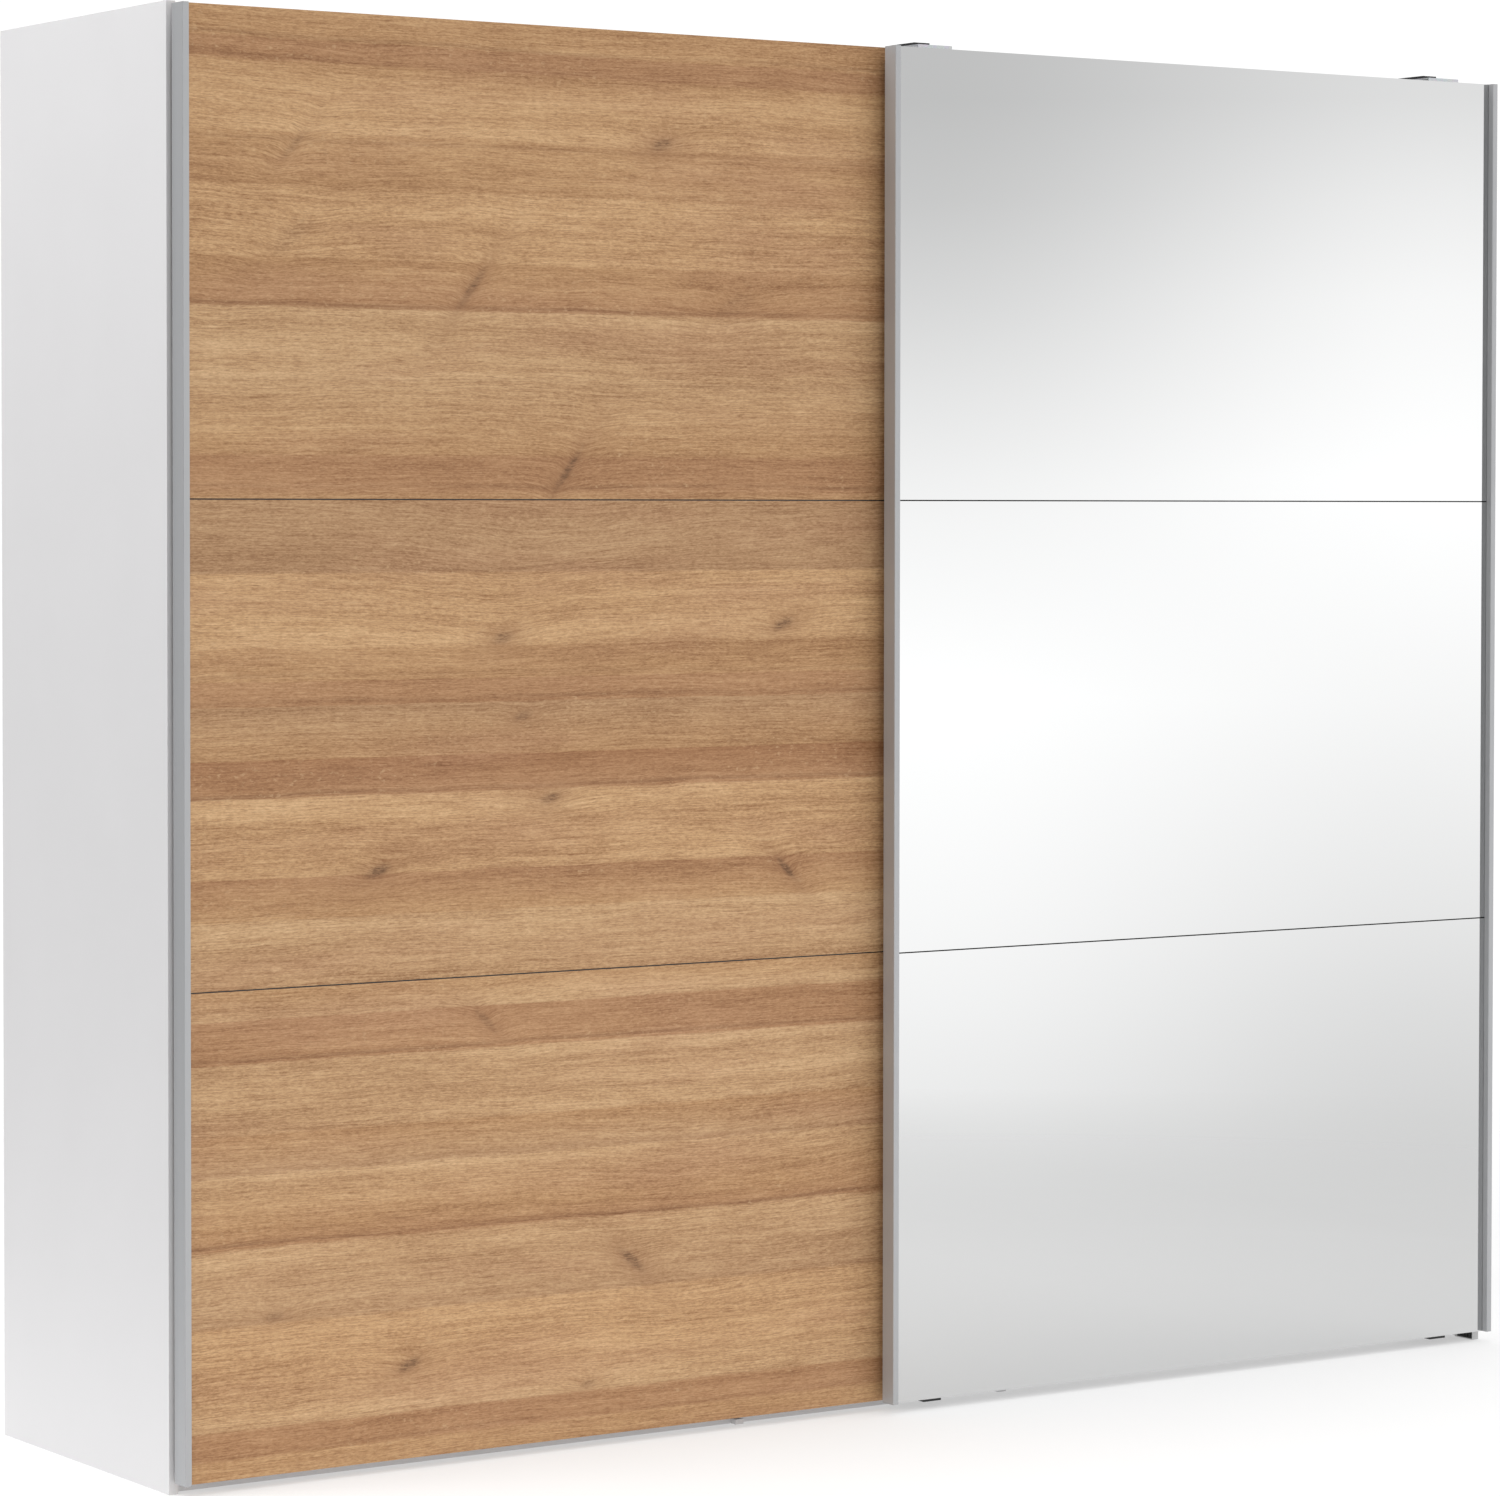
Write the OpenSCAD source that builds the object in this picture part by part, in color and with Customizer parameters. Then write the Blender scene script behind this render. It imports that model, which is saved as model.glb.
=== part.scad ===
// Sliding door wardrobe: a white carcass in three bays, with two doors that hang from a double track.
// Millimetres. X runs to the right, Y to the back and Z up. The origin is on the floor, in the middle
// of the overall width and depth. Most modules work from the carcass front plane, where y is 0.

/* [Carcass] */
// Width over the side panels
carcass_w = 2500; // [2000:10:3200]
// Height of the side panels
carcass_h = 2160; // [1800:10:2600]
// Depth of the side panels
carcass_d = 556; // [440:1:700]
// Thickness of the carcass boards
board_t = 15; // [12:0.5:19]
// Clear width of the middle bay
middle_bay_w = 496; // [380:2:700]
// Drop of the top panels below the tops of the side panels
top_sink = 50; // [48:1:80]
// Height of the plinth boards
plinth_h = 50; // [42:1:90]
// Set-back of the plinth boards behind the carcass front
plinth_setback = 16; // [16:1:60]
// Set-back of the partitions behind the carcass front
partition_setback = 3; // [1:0.5:10]
// Height of the toe that each partition keeps in front of the plinth
toe_h = 8; // [4:0.5:8]
// Thickness of the back panels
back_t = 3; // [2.5:0.1:5]
// Set-back of the back panels from the rear edges of the side panels
back_setback = 8; // [6:0.5:20]

/* [Shelves and rails] */
// Clear height above the hat shelves
hat_space = 320; // [250:5:450]
// Set-back of the shelves behind the carcass front
shelf_setback = 30; // [15:1:80]
// Clearance at each end of a shelf
shelf_play = 1; // [0.5:0.5:3]
// Drop of a clothes rail's centre below its hat shelf
rail_drop = 62; // [45:1:120]
// Height of the oval clothes rail tube
rail_h = 30; // [25:1:40]
// Thickness of the oval clothes rail tube
rail_t = 15; // [12:1:20]
// Diameter of the shelf pins
pin_d = 5; // [4:0.5:7]

/* [Doors] */
// Gap between the carcass front and the rear door
rear_gap = 12; // [10:0.5:25]
// Gap between the two doors
door_gap = 5; // [4.5:0.5:12]
// Overlap of the closed doors
door_overlap = 33; // [24:1:80]
// Inset of the closed doors from the outer faces of the side panels
side_inset = 5.5; // [2:0.5:12]
// Drop of the door tops below the tops of the side panels
door_top_gap = 4.5; // [4:0.5:12]
// Height of the door bottoms above the floor
door_floor_gap = 17.5; // [17:0.5:30]
// Thickness of a door panel
door_panel_t = 15.5; // [14:0.5:22]
// Thickness of the mirror glass, part of the panel thickness
mirror_t = 4; // [3:0.5:6]
// Width of the grip profile's front face
grip_w = 10.5; // [9:0.5:20]
// Height of the grip profile in front of the door panels
grip_rise = 12; // [8:0.5:20]
// Wall of the grip profile
grip_wall = 1.6; // [1.2:0.1:2.5]
// Rear flange of the grip profile, the thickness of the cross rails too
rear_flange_t = 1.5; // [1:0.1:2.5]
// Width of the grip profile's rear flange
rear_flange_w = 9; // [7:0.5:14]
// Lip behind the left door's outer grip profile
closing_lip = 5; // [2:0.5:9]
// Height of the joint between two door panels
joint_h = 2; // [1.5:0.5:5]
// Depth of the joint strip below the panel face
joint_recess = 1.2; // [0.5:0.1:3]

/* [Running gear] */
// Distance of the carriages and guides from the door edges
carriage_inset = 97; // [60:1:200]
// Width of a carriage plate
carriage_w = 66; // [40:1:90]
// Thickness of the carriage plates and guide plates
plate_t = 2.5; // [2:0.1:2.5]
// Distance of the rear door's runway behind the carcass front
inner_runway_y = 18; // [16:0.5:24]
// Distance of the front door's runway behind the carcass front
outer_runway_y = 46; // [44:0.5:60]
// Rolling radius of the wheels
wheel_r = 12.5; // [10:0.5:12.5]
// Height of the wheel flanges above the rolling surface
wheel_flange_h = 2.5; // [1.5:0.5:3]
// Width of a wheel
wheel_w = 9; // [8:0.5:10]
// Radius of the wheel axles
axle_r = 3; // [2.5:0.1:4]
// Radial clearance of a wheel on its axle
axle_play = 0.05; // [0.02:0.01:0.1]
// Gap between a wheel and its runway
wheel_gap = 0.3; // [0.2:0.1:0.5]
// Thickness of the guide fins
fin_t = 3; // [2.5:0.1:3]
// Clearance of a fin on each side of its groove
fin_play = 0.5; // [0.3:0.1:0.6]

/* [Side strip] */
// Thickness of the side strip behind the mirror door
strip_t = 14; // [10:0.5:16]
// Inset of the side strip from the outer face of the side panel
strip_inset = 8; // [0:0.5:8]
// Gap between the side strip and the front door
strip_gap = 1.5; // [1:0.5:3]

/* [Wall fixing] */
// Distance of each wall bracket from the middle
bracket_x = 800; // [600:10:900]
// Radius of the wall bracket's screw hole
bracket_hole_r = 2.75; // [2:0.25:4]

/* [Hidden] */
$fn = 48;

// Colours
white = "white";
edge_grey = "gainsboro";
oak = "burlywood";
alu = "silver";
black = "dimgray";
steel = "lightgray";

// Depths, from the carcass front plane
door_t = rear_flange_t + door_panel_t + grip_rise;
door_zone = rear_gap + 2 * door_t + door_gap;
front_y = door_zone - (carcass_d + door_zone) / 2;
inner_door_y = -rear_gap;
outer_door_y = -(rear_gap + door_t + door_gap);
back_y = carcass_d - back_setback - back_t;
groove_play = 0.4;
groove_d = 7;
back_engage = 6.5;

// Carcass
half_w = carcass_w / 2;
inner_half_w = half_w - board_t;
bay_half = middle_bay_w / 2;
side_bay_w = inner_half_w - bay_half - board_t;
side_bay_x = bay_half + board_t;
top_z = carcass_h - top_sink;
top_under_z = top_z - board_t;
floor_z = plinth_h + board_t;
inner_h = top_under_z - floor_z;
hat_z = top_under_z - hat_space - board_t;
middle_shelves = 3;
shelf_pitch = (inner_h - middle_shelves * board_t) / (middle_shelves + 1) + board_t;
shelf_d = back_y - shelf_setback - 4;

// Fittings
pin_len = 8;
pin_out = 9;
pin_play = 0.1;
pin_front = 45;
pin_rear = 60;
cam_r = 7.5;
cam_depth = 12;
cam_play = 0.1;
cam_end = 34;
cam_front = 100;
cam_rear = 80;
screw_r = 1.5;
screw_len = 15;
screw_head_r = 3.5;
screw_head_h = 1.2;
screw_pitch = 300;
strip_web = 1.4;
t_strip_w = 24;
t_strip_t = 1.2;

// Clothes rails
rail_z = hat_z - rail_drop;
rail_y = carcass_d / 2;
rail_wall = 1.2;
socket_wall = 2.5;
socket_len = 12;
socket_base = 2;
rail_play = 0.3;

// Doors
door_w = (carcass_w - 2 * side_inset + door_overlap) / 2;
door_h = carcass_h - door_top_gap - door_floor_gap;
left_door_x = -half_w + side_inset;
right_door_x = half_w - side_inset - door_w;
panel_x = grip_wall + 0.7;
panel_h = (door_h - 2 * joint_h) / 3;
rail_strap_h = 60;
strap_edge = 5;
strap_x = rear_flange_w + 1;
joint_flange_h = 24;
grip_corner = 1;

// Running gear
track_base_t = 2.5;
track_front = 4;
track_back = outer_runway_y + 18;
ridge_h = 7.5;
ridge_r = 2.2;
ridge_stem = 3;
track_play = 1;
axle_z = top_z + track_base_t + ridge_h + wheel_gap + wheel_r;
wheel_outer_r = wheel_r + wheel_flange_h;
hanger_w = 30;
hanger_gap = 1.5;
hanger_tail = 8;
inner_arm_z = carcass_h - door_top_gap - 5;
outer_arm_z = carcass_h;
carriage_drop = 95;
cap_front = -10;
cap_h = 6.5;
stop_w = 26;
stop_d = 13;
stop_top = axle_z + 10;
stop_gap = 0.5;
groove_w = fin_t + 2 * fin_play;
rail_skin = 1.5;
rail_web = 3;
rail_front = 1;
rail_low = 26;
inner_fin_y = rail_front + rail_skin + groove_w / 2;
outer_fin_y = inner_fin_y + groove_w + rail_web;
guide_rail_d = 2 * rail_skin + 2 * groove_w + rail_web;
fin_top = plinth_h - 8;
guide_w = 34;
guide_top = 62;
inner_guide_z = door_floor_gap - 1;
outer_guide_z = toe_h + 2;
guide_arm_t = 3;

// Side strip and seal
strip_x = half_w - strip_inset - strip_t;
strip_y = outer_door_y + strip_gap;
seal_t = 3.5;
strip_top = carcass_h - 10;
strip_screw_x = (max(strip_x, inner_half_w) + strip_x + strip_t) / 2;

// Wall brackets
bracket_w = 40;
bracket_t = 2;
bracket_leg = 40;
bracket_foot = 54;
bracket_hole_z = 26;

// Sections and shared shapes

module at_front() {
    translate([0, front_y, 0]) children();
}

module rounded_rect(w, h, r) {
    translate([r, 0]) square([w - 2 * r, h]);
    translate([0, r]) square([w, h - 2 * r]);
    for (x = [r, w - r], y = [r, h - r]) translate([x, y]) circle(r);
}

module oval(length, width) {
    square([width, length - width], center = true);
    for (s = [-1, 1]) translate([0, s * (length - width) / 2]) circle(width / 2);
}

module rod_x(r, len) {
    rotate([0, 90, 0]) cylinder(r = r, h = len);
}

// A rod that points to the back
module rod_y(r, len) {
    rotate([-90, 0, 0]) cylinder(r = r, h = len);
}

// Carcass boards

// Pin places in one bay wall: front and rear holes for each shelf height
module pin_holes(x, heights) {
    for (z = heights, y = pin_ys())
        translate([x, y, z - pin_d / 2]) rod_x(pin_d / 2 + pin_play, pin_len + 0.5);
}

function pin_ys() = [shelf_setback + pin_front, back_y - pin_rear];
function middle_shelf_z(i) = floor_z + i * shelf_pitch - board_t;
function middle_heights() = [for (i = [1 : middle_shelves]) middle_shelf_z(i)];

module side_panel() {
    difference() {
        cube([board_t, carcass_d, carcass_h]);
        translate([board_t - groove_d, back_y, -1])
            cube([groove_d + 1, back_t + groove_play, carcass_h + 2]);
        pin_holes(board_t - pin_len - 0.5 + 0.001, [hat_z]);
    }
}

module left_side_panel() {
    color(white) at_front() translate([-half_w, 0, 0]) side_panel();
}

module right_side_panel() {
    color(white) mirror([1, 0, 0]) at_front() translate([-half_w, 0, 0]) side_panel();
}

// Left partition, standing on the floor, with a notch in front for the guide rail and the guides
module partition() {
    depth = back_y - partition_setback;
    difference() {
        translate([0, partition_setback, 0]) cube([board_t, depth, top_z]);
        translate([-1, 0, toe_h]) cube([board_t + 2, plinth_setback, plinth_h - toe_h]);
        pin_holes(-0.001, [hat_z]);
        pin_holes(board_t - pin_len - 0.5 + 0.001, middle_heights());
    }
}

module left_partition() {
    color(white) at_front() translate([-side_bay_x, 0, 0]) partition();
}

module right_partition() {
    color(white) mirror([1, 0, 0]) at_front() translate([-side_bay_x, 0, 0]) partition();
}

// Places of the cam locks in a board of the given width, from its left front corner
function cam_places(w) = [for (x = [cam_end, w - cam_end], y = [cam_front, back_y - cam_rear]) [x, y]];

// A horizontal board with its cam lock pockets in the upper or lower face
module cam_board(w, upper) {
    pocket_z = upper ? board_t - cam_depth : -1;
    difference() {
        cube([w, back_y, board_t]);
        for (p = cam_places(w))
            translate([p[0], p[1], pocket_z]) cylinder(r = cam_r + cam_play, h = cam_depth + 1);
    }
}

module top_board(x, w) {
    color(white) at_front() translate([x, 0, top_under_z]) cam_board(w, true);
}

module bottom_board(x, w) {
    color(white) at_front() translate([x, 0, plinth_h]) cam_board(w, false);
}

module plinth_board(x, w) {
    color(white) at_front() translate([x, plinth_setback, 0]) cube([w, board_t, plinth_h]);
}

module left_top_panel() { top_board(-inner_half_w, side_bay_w); }
module middle_top_panel() { top_board(-bay_half, middle_bay_w); }
module right_top_panel() { top_board(side_bay_x, side_bay_w); }
module left_bottom_panel() { bottom_board(-inner_half_w, side_bay_w); }
module middle_bottom_panel() { bottom_board(-bay_half, middle_bay_w); }
module right_bottom_panel() { bottom_board(side_bay_x, side_bay_w); }
module left_plinth() { plinth_board(-inner_half_w, side_bay_w); }
module middle_plinth() { plinth_board(-bay_half, middle_bay_w); }
module right_plinth() { plinth_board(side_bay_x, side_bay_w); }

// Back panels meet on the centre lines of the partitions
back_joint_x = bay_half + board_t / 2;

module back_board(x0, x1) {
    color(white) at_front() translate([x0, back_y, plinth_h])
        cube([x1 - x0, back_t, top_z - plinth_h]);
}

module left_back_panel() {
    back_board(-inner_half_w - back_engage, -back_joint_x - strip_web / 2);
}

module middle_back_panel() {
    back_board(-back_joint_x + strip_web / 2, back_joint_x - strip_web / 2);
}

module right_back_panel() {
    back_board(back_joint_x + strip_web / 2, inner_half_w + back_engage);
}

module back_joint_strips() {
    color(white) at_front() for (s = [-1, 1])
        translate([s * back_joint_x, back_y, plinth_h]) linear_extrude(top_z - plinth_h) {
            translate([-strip_web / 2, 0]) square([strip_web, back_t]);
            translate([-t_strip_w / 2, back_t]) square([t_strip_w, t_strip_t]);
        }
}

// Shelves, pins and clothes rails

module shelf(x, w, z) {
    color(white) at_front() translate([x + shelf_play, shelf_setback, z])
        cube([w - 2 * shelf_play, shelf_d, board_t]);
}

module left_hat_shelf() { shelf(-inner_half_w, side_bay_w, hat_z); }
module right_hat_shelf() { shelf(side_bay_x, side_bay_w, hat_z); }
module lower_shelf() { shelf(-bay_half, middle_bay_w, middle_shelf_z(1)); }
module centre_shelf() { shelf(-bay_half, middle_bay_w, middle_shelf_z(2)); }
module upper_shelf() { shelf(-bay_half, middle_bay_w, middle_shelf_z(3)); }

// The pins on both walls of a bay, under a shelf
module bay_pins(x, w, z) {
    for (y = pin_ys(), end = [x - pin_len, x + w - pin_out])
        translate([end, y, z - pin_d / 2]) rod_x(pin_d / 2, pin_len + pin_out);
}

module shelf_pins() {
    color(steel) at_front() {
        bay_pins(-inner_half_w, side_bay_w, hat_z);
        bay_pins(side_bay_x, side_bay_w, hat_z);
        for (z = middle_heights()) bay_pins(-bay_half, middle_bay_w, z);
    }
}

module clothes_rail(x) {
    len = side_bay_w - 2 * socket_base - 2;
    color(steel) at_front() translate([x + socket_base + 1, rail_y, rail_z])
        rotate([90, 0, 90]) linear_extrude(len) difference() {
            oval(rail_h, rail_t);
            oval(rail_h - 2 * rail_wall, rail_t - 2 * rail_wall);
        }
}

module left_clothes_rail() { clothes_rail(-inner_half_w); }
module right_clothes_rail() { clothes_rail(side_bay_x); }

// A cup that holds one end of a rail: a base on the board and a wall around the tube
module rail_socket() {
    grow = 2 * (rail_play + socket_wall);
    rotate([90, 0, 90]) {
        linear_extrude(socket_base) oval(rail_h + grow, rail_t + grow);
        linear_extrude(socket_len) difference() {
            oval(rail_h + grow, rail_t + grow);
            oval(rail_h + 2 * rail_play, rail_t + 2 * rail_play);
        }
    }
}

module rail_sockets() {
    color(steel) at_front() for (s = [0, 1]) mirror([s, 0, 0]) {
        translate([-inner_half_w, rail_y, rail_z]) rail_socket();
        translate([-side_bay_x, rail_y, rail_z]) mirror([1, 0, 0]) rail_socket();
    }
}

// Track, guide rail and stops

module ridge(y) {
    translate([y - ridge_stem / 2, track_base_t - 0.5])
        square([ridge_stem, ridge_h - ridge_r + 0.5]);
    translate([y, track_base_t + ridge_h - ridge_r]) circle(ridge_r);
}

module running_track() {
    len = 2 * (inner_half_w - track_play);
    color(alu) at_front() translate([-len / 2, 0, top_z]) rotate([90, 0, 90]) linear_extrude(len) {
        translate([track_front, 0]) square([track_back - track_front, track_base_t]);
        translate([track_front, 0]) square([1.5, track_base_t + 5]);
        translate([track_back - 1.5, 0]) square([1.5, track_base_t + 10]);
        ridge(inner_runway_y);
        ridge(outer_runway_y);
    }
}

module guide_rail() {
    len = 2 * (inner_half_w - track_play);
    h = plinth_h - rail_low;
    color(black) at_front() translate([-len / 2, 0, rail_low]) rotate([90, 0, 90]) linear_extrude(len)
        difference() {
            translate([rail_front, 0]) square([guide_rail_d, h]);
            for (y = [inner_fin_y, outer_fin_y])
                translate([y - groove_w / 2, -1]) square([groove_w, h - 3]);
        }
}

// Carriage middle lines, for a door with its left edge at x
function carriage_xs(x) = [x + carriage_inset, x + door_w - carriage_inset];

// Travel of each door from closed
inner_travel = strip_x - seal_t - 1 - (left_door_x + door_w);
outer_travel = right_door_x - left_door_x;

// A stop block astride a ridge. dir is 1 for a stop that lies to the right of its buffer face
module end_stop(x, y, dir) {
    shift = dir > 0 ? x : x - stop_w;
    base_z = top_z + track_base_t;
    translate([shift, y - stop_d / 2, base_z]) difference() {
        cube([stop_w, stop_d, stop_top - base_z]);
        translate([-1, stop_d / 2 - ridge_r - 0.5, -1])
            cube([stop_w + 2, 2 * ridge_r + 1, ridge_h + 1.5]);
    }
}

module track_end_stops() {
    half = hanger_w / 2 + stop_gap;
    inner = carriage_xs(left_door_x);
    outer = carriage_xs(right_door_x);
    color(black) at_front() {
        end_stop(inner[0] - half, inner_runway_y, -1);
        end_stop(inner[1] + inner_travel + half, inner_runway_y, 1);
        end_stop(outer[0] - outer_travel - half, outer_runway_y, -1);
        end_stop(outer[1] + half, outer_runway_y, 1);
    }
}

// Side strip behind the mirror door's outer edge, with a brush seal on its inner face

module side_strip() {
    color(edge_grey) at_front() translate([strip_x, strip_y, 0]) cube([strip_t, -strip_y, strip_top]);
}

module side_strip_seal() {
    color(black) at_front() translate([strip_x - seal_t, strip_y + 0.5, 2])
        cube([seal_t, -strip_y - 8, strip_top - 4]);
}

// Fittings

module cam_lock(upper) {
    turn = upper ? board_t - cam_depth : 0;
    slot_z = upper ? cam_depth - 2 : -1;
    translate([0, 0, turn]) difference() {
        cylinder(r = cam_r, h = cam_depth);
        translate([-4, -1, slot_z]) cube([8, 2, 3]);
        translate([-1, -4, slot_z]) cube([2, 8, 3]);
    }
}

module board_cams(x, w) {
    for (p = cam_places(w)) {
        translate([x + p[0], p[1], top_under_z]) cam_lock(true);
        translate([x + p[0], p[1], plinth_h]) cam_lock(false);
    }
}

module cam_locks() {
    color(steel) at_front() {
        board_cams(-inner_half_w, side_bay_w);
        board_cams(-bay_half, middle_bay_w);
        board_cams(side_bay_x, side_bay_w);
    }
}

// A screw that is driven along -Z, with its head's underside at the origin
module screw(r, len) {
    translate([0, 0, -len]) cylinder(r = r, h = len);
    cylinder(r1 = screw_head_r, r2 = screw_head_r * 0.7, h = screw_head_h);
}

// Even spacing of about screw_pitch between two ends
function spread(a, b) = let (n = ceil((b - a) / screw_pitch)) [for (i = [0 : n]) a + i * (b - a) / n];

module back_screw(x, z) {
    translate([x, back_y + back_t, z]) rotate([-90, 0, 0]) screw(screw_r, screw_len);
}

module carcass_screws() {
    edge = 40;
    mid_z = board_t / 2;
    bays = [[-inner_half_w, side_bay_w], [-bay_half, middle_bay_w], [side_bay_x, side_bay_w]];
    color(steel) at_front() {
        for (bay = bays, x = spread(bay[0] + edge, bay[0] + bay[1] - edge)) {
            back_screw(x, plinth_h + mid_z);
            back_screw(x, top_under_z + mid_z);
            translate([x, (inner_runway_y + outer_runway_y) / 2, top_z + track_base_t])
                screw(screw_r, board_t - 3);
        }
        for (s = [-1, 1], z = spread(bracket_foot + floor_z, top_under_z - edge))
            translate([s * back_joint_x, back_y + back_t + t_strip_t, z]) rotate([-90, 0, 0])
                screw(screw_r, screw_len);
        for (z = spread(bracket_foot + floor_z, strip_top - edge))
            translate([strip_screw_x, strip_y, z]) rotate([90, 0, 0])
                screw(screw_r, screw_len - strip_y);
        for (s = [-1, 1], x = [-10, 10])
            translate([s * bracket_x + x, carcass_d - bracket_foot + 12, top_z + bracket_t])
                screw(screw_r, board_t - 3);
    }
}

module wall_bracket() {
    difference() {
        union() {
            translate([-bracket_w / 2, -bracket_foot, 0]) cube([bracket_w, bracket_foot, bracket_t]);
            translate([-bracket_w / 2, -bracket_t, 0]) cube([bracket_w, bracket_t, bracket_leg]);
        }
        translate([0, -bracket_t - 1, bracket_hole_z]) rod_y(bracket_hole_r, bracket_t + 2);
    }
}

module wall_brackets() {
    color(steel) at_front() for (s = [-1, 1])
        translate([s * bracket_x, carcass_d, top_z]) wall_bracket();
}

// Door parts. Inside at_door, x runs from the door's left edge, y is 0 at the door's rear face and
// negative towards the room, and z is 0 at the door's lower edge.

module at_door(x, y) {
    translate([x, front_y + y, door_floor_gap]) children();
}

module at_left_door() { at_door(left_door_x, inner_door_y) children(); }
module at_right_door() { at_door(right_door_x, outer_door_y) children(); }

// Grip profile section: a hollow ridge in front, an outer wall, and a rear flange behind the panels
module grip_section(lip) {
    inside = grip_rise - 2 * grip_wall;
    difference() {
        translate([0, -door_t]) rounded_rect(grip_w, grip_rise, grip_corner);
        translate([grip_wall, -door_t + grip_wall]) square([grip_w - 2 * grip_wall, inside]);
    }
    translate([0, -door_t + 2 * grip_corner]) square([grip_wall, door_t - 2 * grip_corner + lip]);
    translate([0, -rear_flange_t]) square([rear_flange_w, rear_flange_t]);
}

module left_hand_grip(lip) {
    color(alu) linear_extrude(door_h) grip_section(lip);
}

module right_hand_grip(lip) {
    color(alu) translate([door_w, 0, 0]) mirror([1, 0, 0]) linear_extrude(door_h) grip_section(lip);
}

// A board or glass pane of one third of the door. row is 0 for the lowest one
module door_pane(row, front, thickness) {
    translate([panel_x, -front, row * (panel_h + joint_h)])
        cube([door_w - 2 * panel_x, thickness, panel_h]);
}

face_v = rear_flange_t + door_panel_t;

module oak_panel(row) {
    color(oak) at_left_door() door_pane(row, face_v, door_panel_t);
}

module mirror_pane(row) {
    color("lightcyan") at_right_door() door_pane(row, face_v, mirror_t);
}

// T-shaped strips between the panels
module joint_strips() {
    web_d = door_panel_t - joint_recess;
    color(black) for (row = [1, 2]) translate([0, 0, row * (panel_h + joint_h) - joint_h]) {
        translate([panel_x, -rear_flange_t - web_d, 0])
            cube([door_w - 2 * panel_x, web_d, joint_h]);
        translate([strap_x, -rear_flange_t, (joint_h - joint_flange_h) / 2])
            cube([door_w - 2 * strap_x, rear_flange_t, joint_flange_h]);
    }
}

// Flat steel straps behind the panels, at the top and bottom of the door
module cross_rails() {
    color(steel) for (z = [strap_edge, door_h - strap_edge - rail_strap_h])
        translate([strap_x, -rear_flange_t, z])
            cube([door_w - 2 * strap_x, rear_flange_t, rail_strap_h]);
}

// A bent plate from the door's back, over the top, down to the axle. Works in carcass places
module carriage(door_y, arm_z, runway_y) {
    hanger_y = runway_y + wheel_w / 2 + hanger_gap;
    leg_z = carcass_h - door_top_gap - carriage_drop;
    difference() {
        union() {
            translate([-carriage_w / 2, door_y, leg_z])
                cube([carriage_w, plate_t, arm_z + plate_t - leg_z]);
            translate([-carriage_w / 2, door_y, arm_z])
                cube([carriage_w, hanger_y + plate_t - door_y, plate_t]);
            translate([-hanger_w / 2, hanger_y, axle_z - hanger_tail])
                cube([hanger_w, plate_t, arm_z + plate_t - axle_z + hanger_tail]);
        }
        translate([0, hanger_y - 1, axle_z]) rod_y(axle_r + 0.1, plate_t + 2);
    }
}

module carriages(x, door_y, arm_z, runway_y) {
    color(steel) at_front() for (cx = carriage_xs(x)) translate([cx, 0, 0])
        carriage(door_y, arm_z, runway_y);
}

// Axle bolt: its head is behind the hanger, and a clip holds the wheel in front
module axle_bolt(runway_y) {
    hanger_y = runway_y + wheel_w / 2 + hanger_gap;
    tip_y = runway_y - wheel_w / 2 - 1.2;
    translate([0, tip_y, 0]) rod_y(axle_r, hanger_y + plate_t - tip_y);
    translate([0, hanger_y + plate_t, 0]) rod_y(axle_r + 2, 2.5);
    translate([0, tip_y, 0]) rod_y(axle_r + 1.5, 0.8);
    translate([0, hanger_y - 0.8, 0]) rod_y(axle_r + 1.5, 0.8);
}

// Screws through a carriage plate and a guide plate into the door's back
module door_screws(door_y) {
    top = carcass_h - door_top_gap;
    screw_in = plate_t + rear_flange_t + 8;
    for (x = [-22, 22], z = [top - 30, top - 52, top - carriage_drop + 10])
        translate([x, door_y + plate_t, z]) rotate([-90, 0, 0]) screw(2, screw_in);
    for (x = [-10, 10])
        translate([x, door_y + plate_t, door_floor_gap + guide_top - 24]) rotate([-90, 0, 0])
            screw(2, screw_in);
}

module fasteners(x, door_y, runway_y) {
    color(steel) at_front() for (cx = carriage_xs(x)) translate([cx, 0, 0]) {
        translate([0, 0, axle_z]) axle_bolt(runway_y);
        door_screws(door_y);
    }
}

// A guide: a plate on the door's back, an arm that reaches back, and a fin in the guide rail's groove
module guides(x, door_y, arm_z, fin_y) {
    reach = fin_y + fin_t / 2 - door_y;
    color(black) at_front() for (cx = carriage_xs(x)) translate([cx - guide_w / 2, 0, 0]) {
        translate([0, door_y, arm_z])
            cube([guide_w, plate_t, door_floor_gap + guide_top - arm_z]);
        translate([0, door_y, arm_z]) cube([guide_w, reach, guide_arm_t]);
        translate([0, fin_y - fin_t / 2, arm_z]) cube([guide_w, fin_t, fin_top - arm_z]);
    }
}

// Grooved wheel that turns on an axle along Y
module wheel() {
    half = wheel_w / 2;
    land = ridge_r + 0.5;
    rotate([90, 0, 0]) rotate_extrude() polygon([
        [axle_r + axle_play, -half], [wheel_outer_r, -half], [wheel_outer_r, -half + 0.8],
        [wheel_r, -land + 0.8], [wheel_r, land - 0.8],
        [wheel_outer_r, half - 0.8], [wheel_outer_r, half], [axle_r + axle_play, half]]);
}

module door_wheel(x, index, runway_y) {
    color(black) at_front() translate([carriage_xs(x)[index], runway_y, axle_z]) wheel();
}

// Left door

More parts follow.
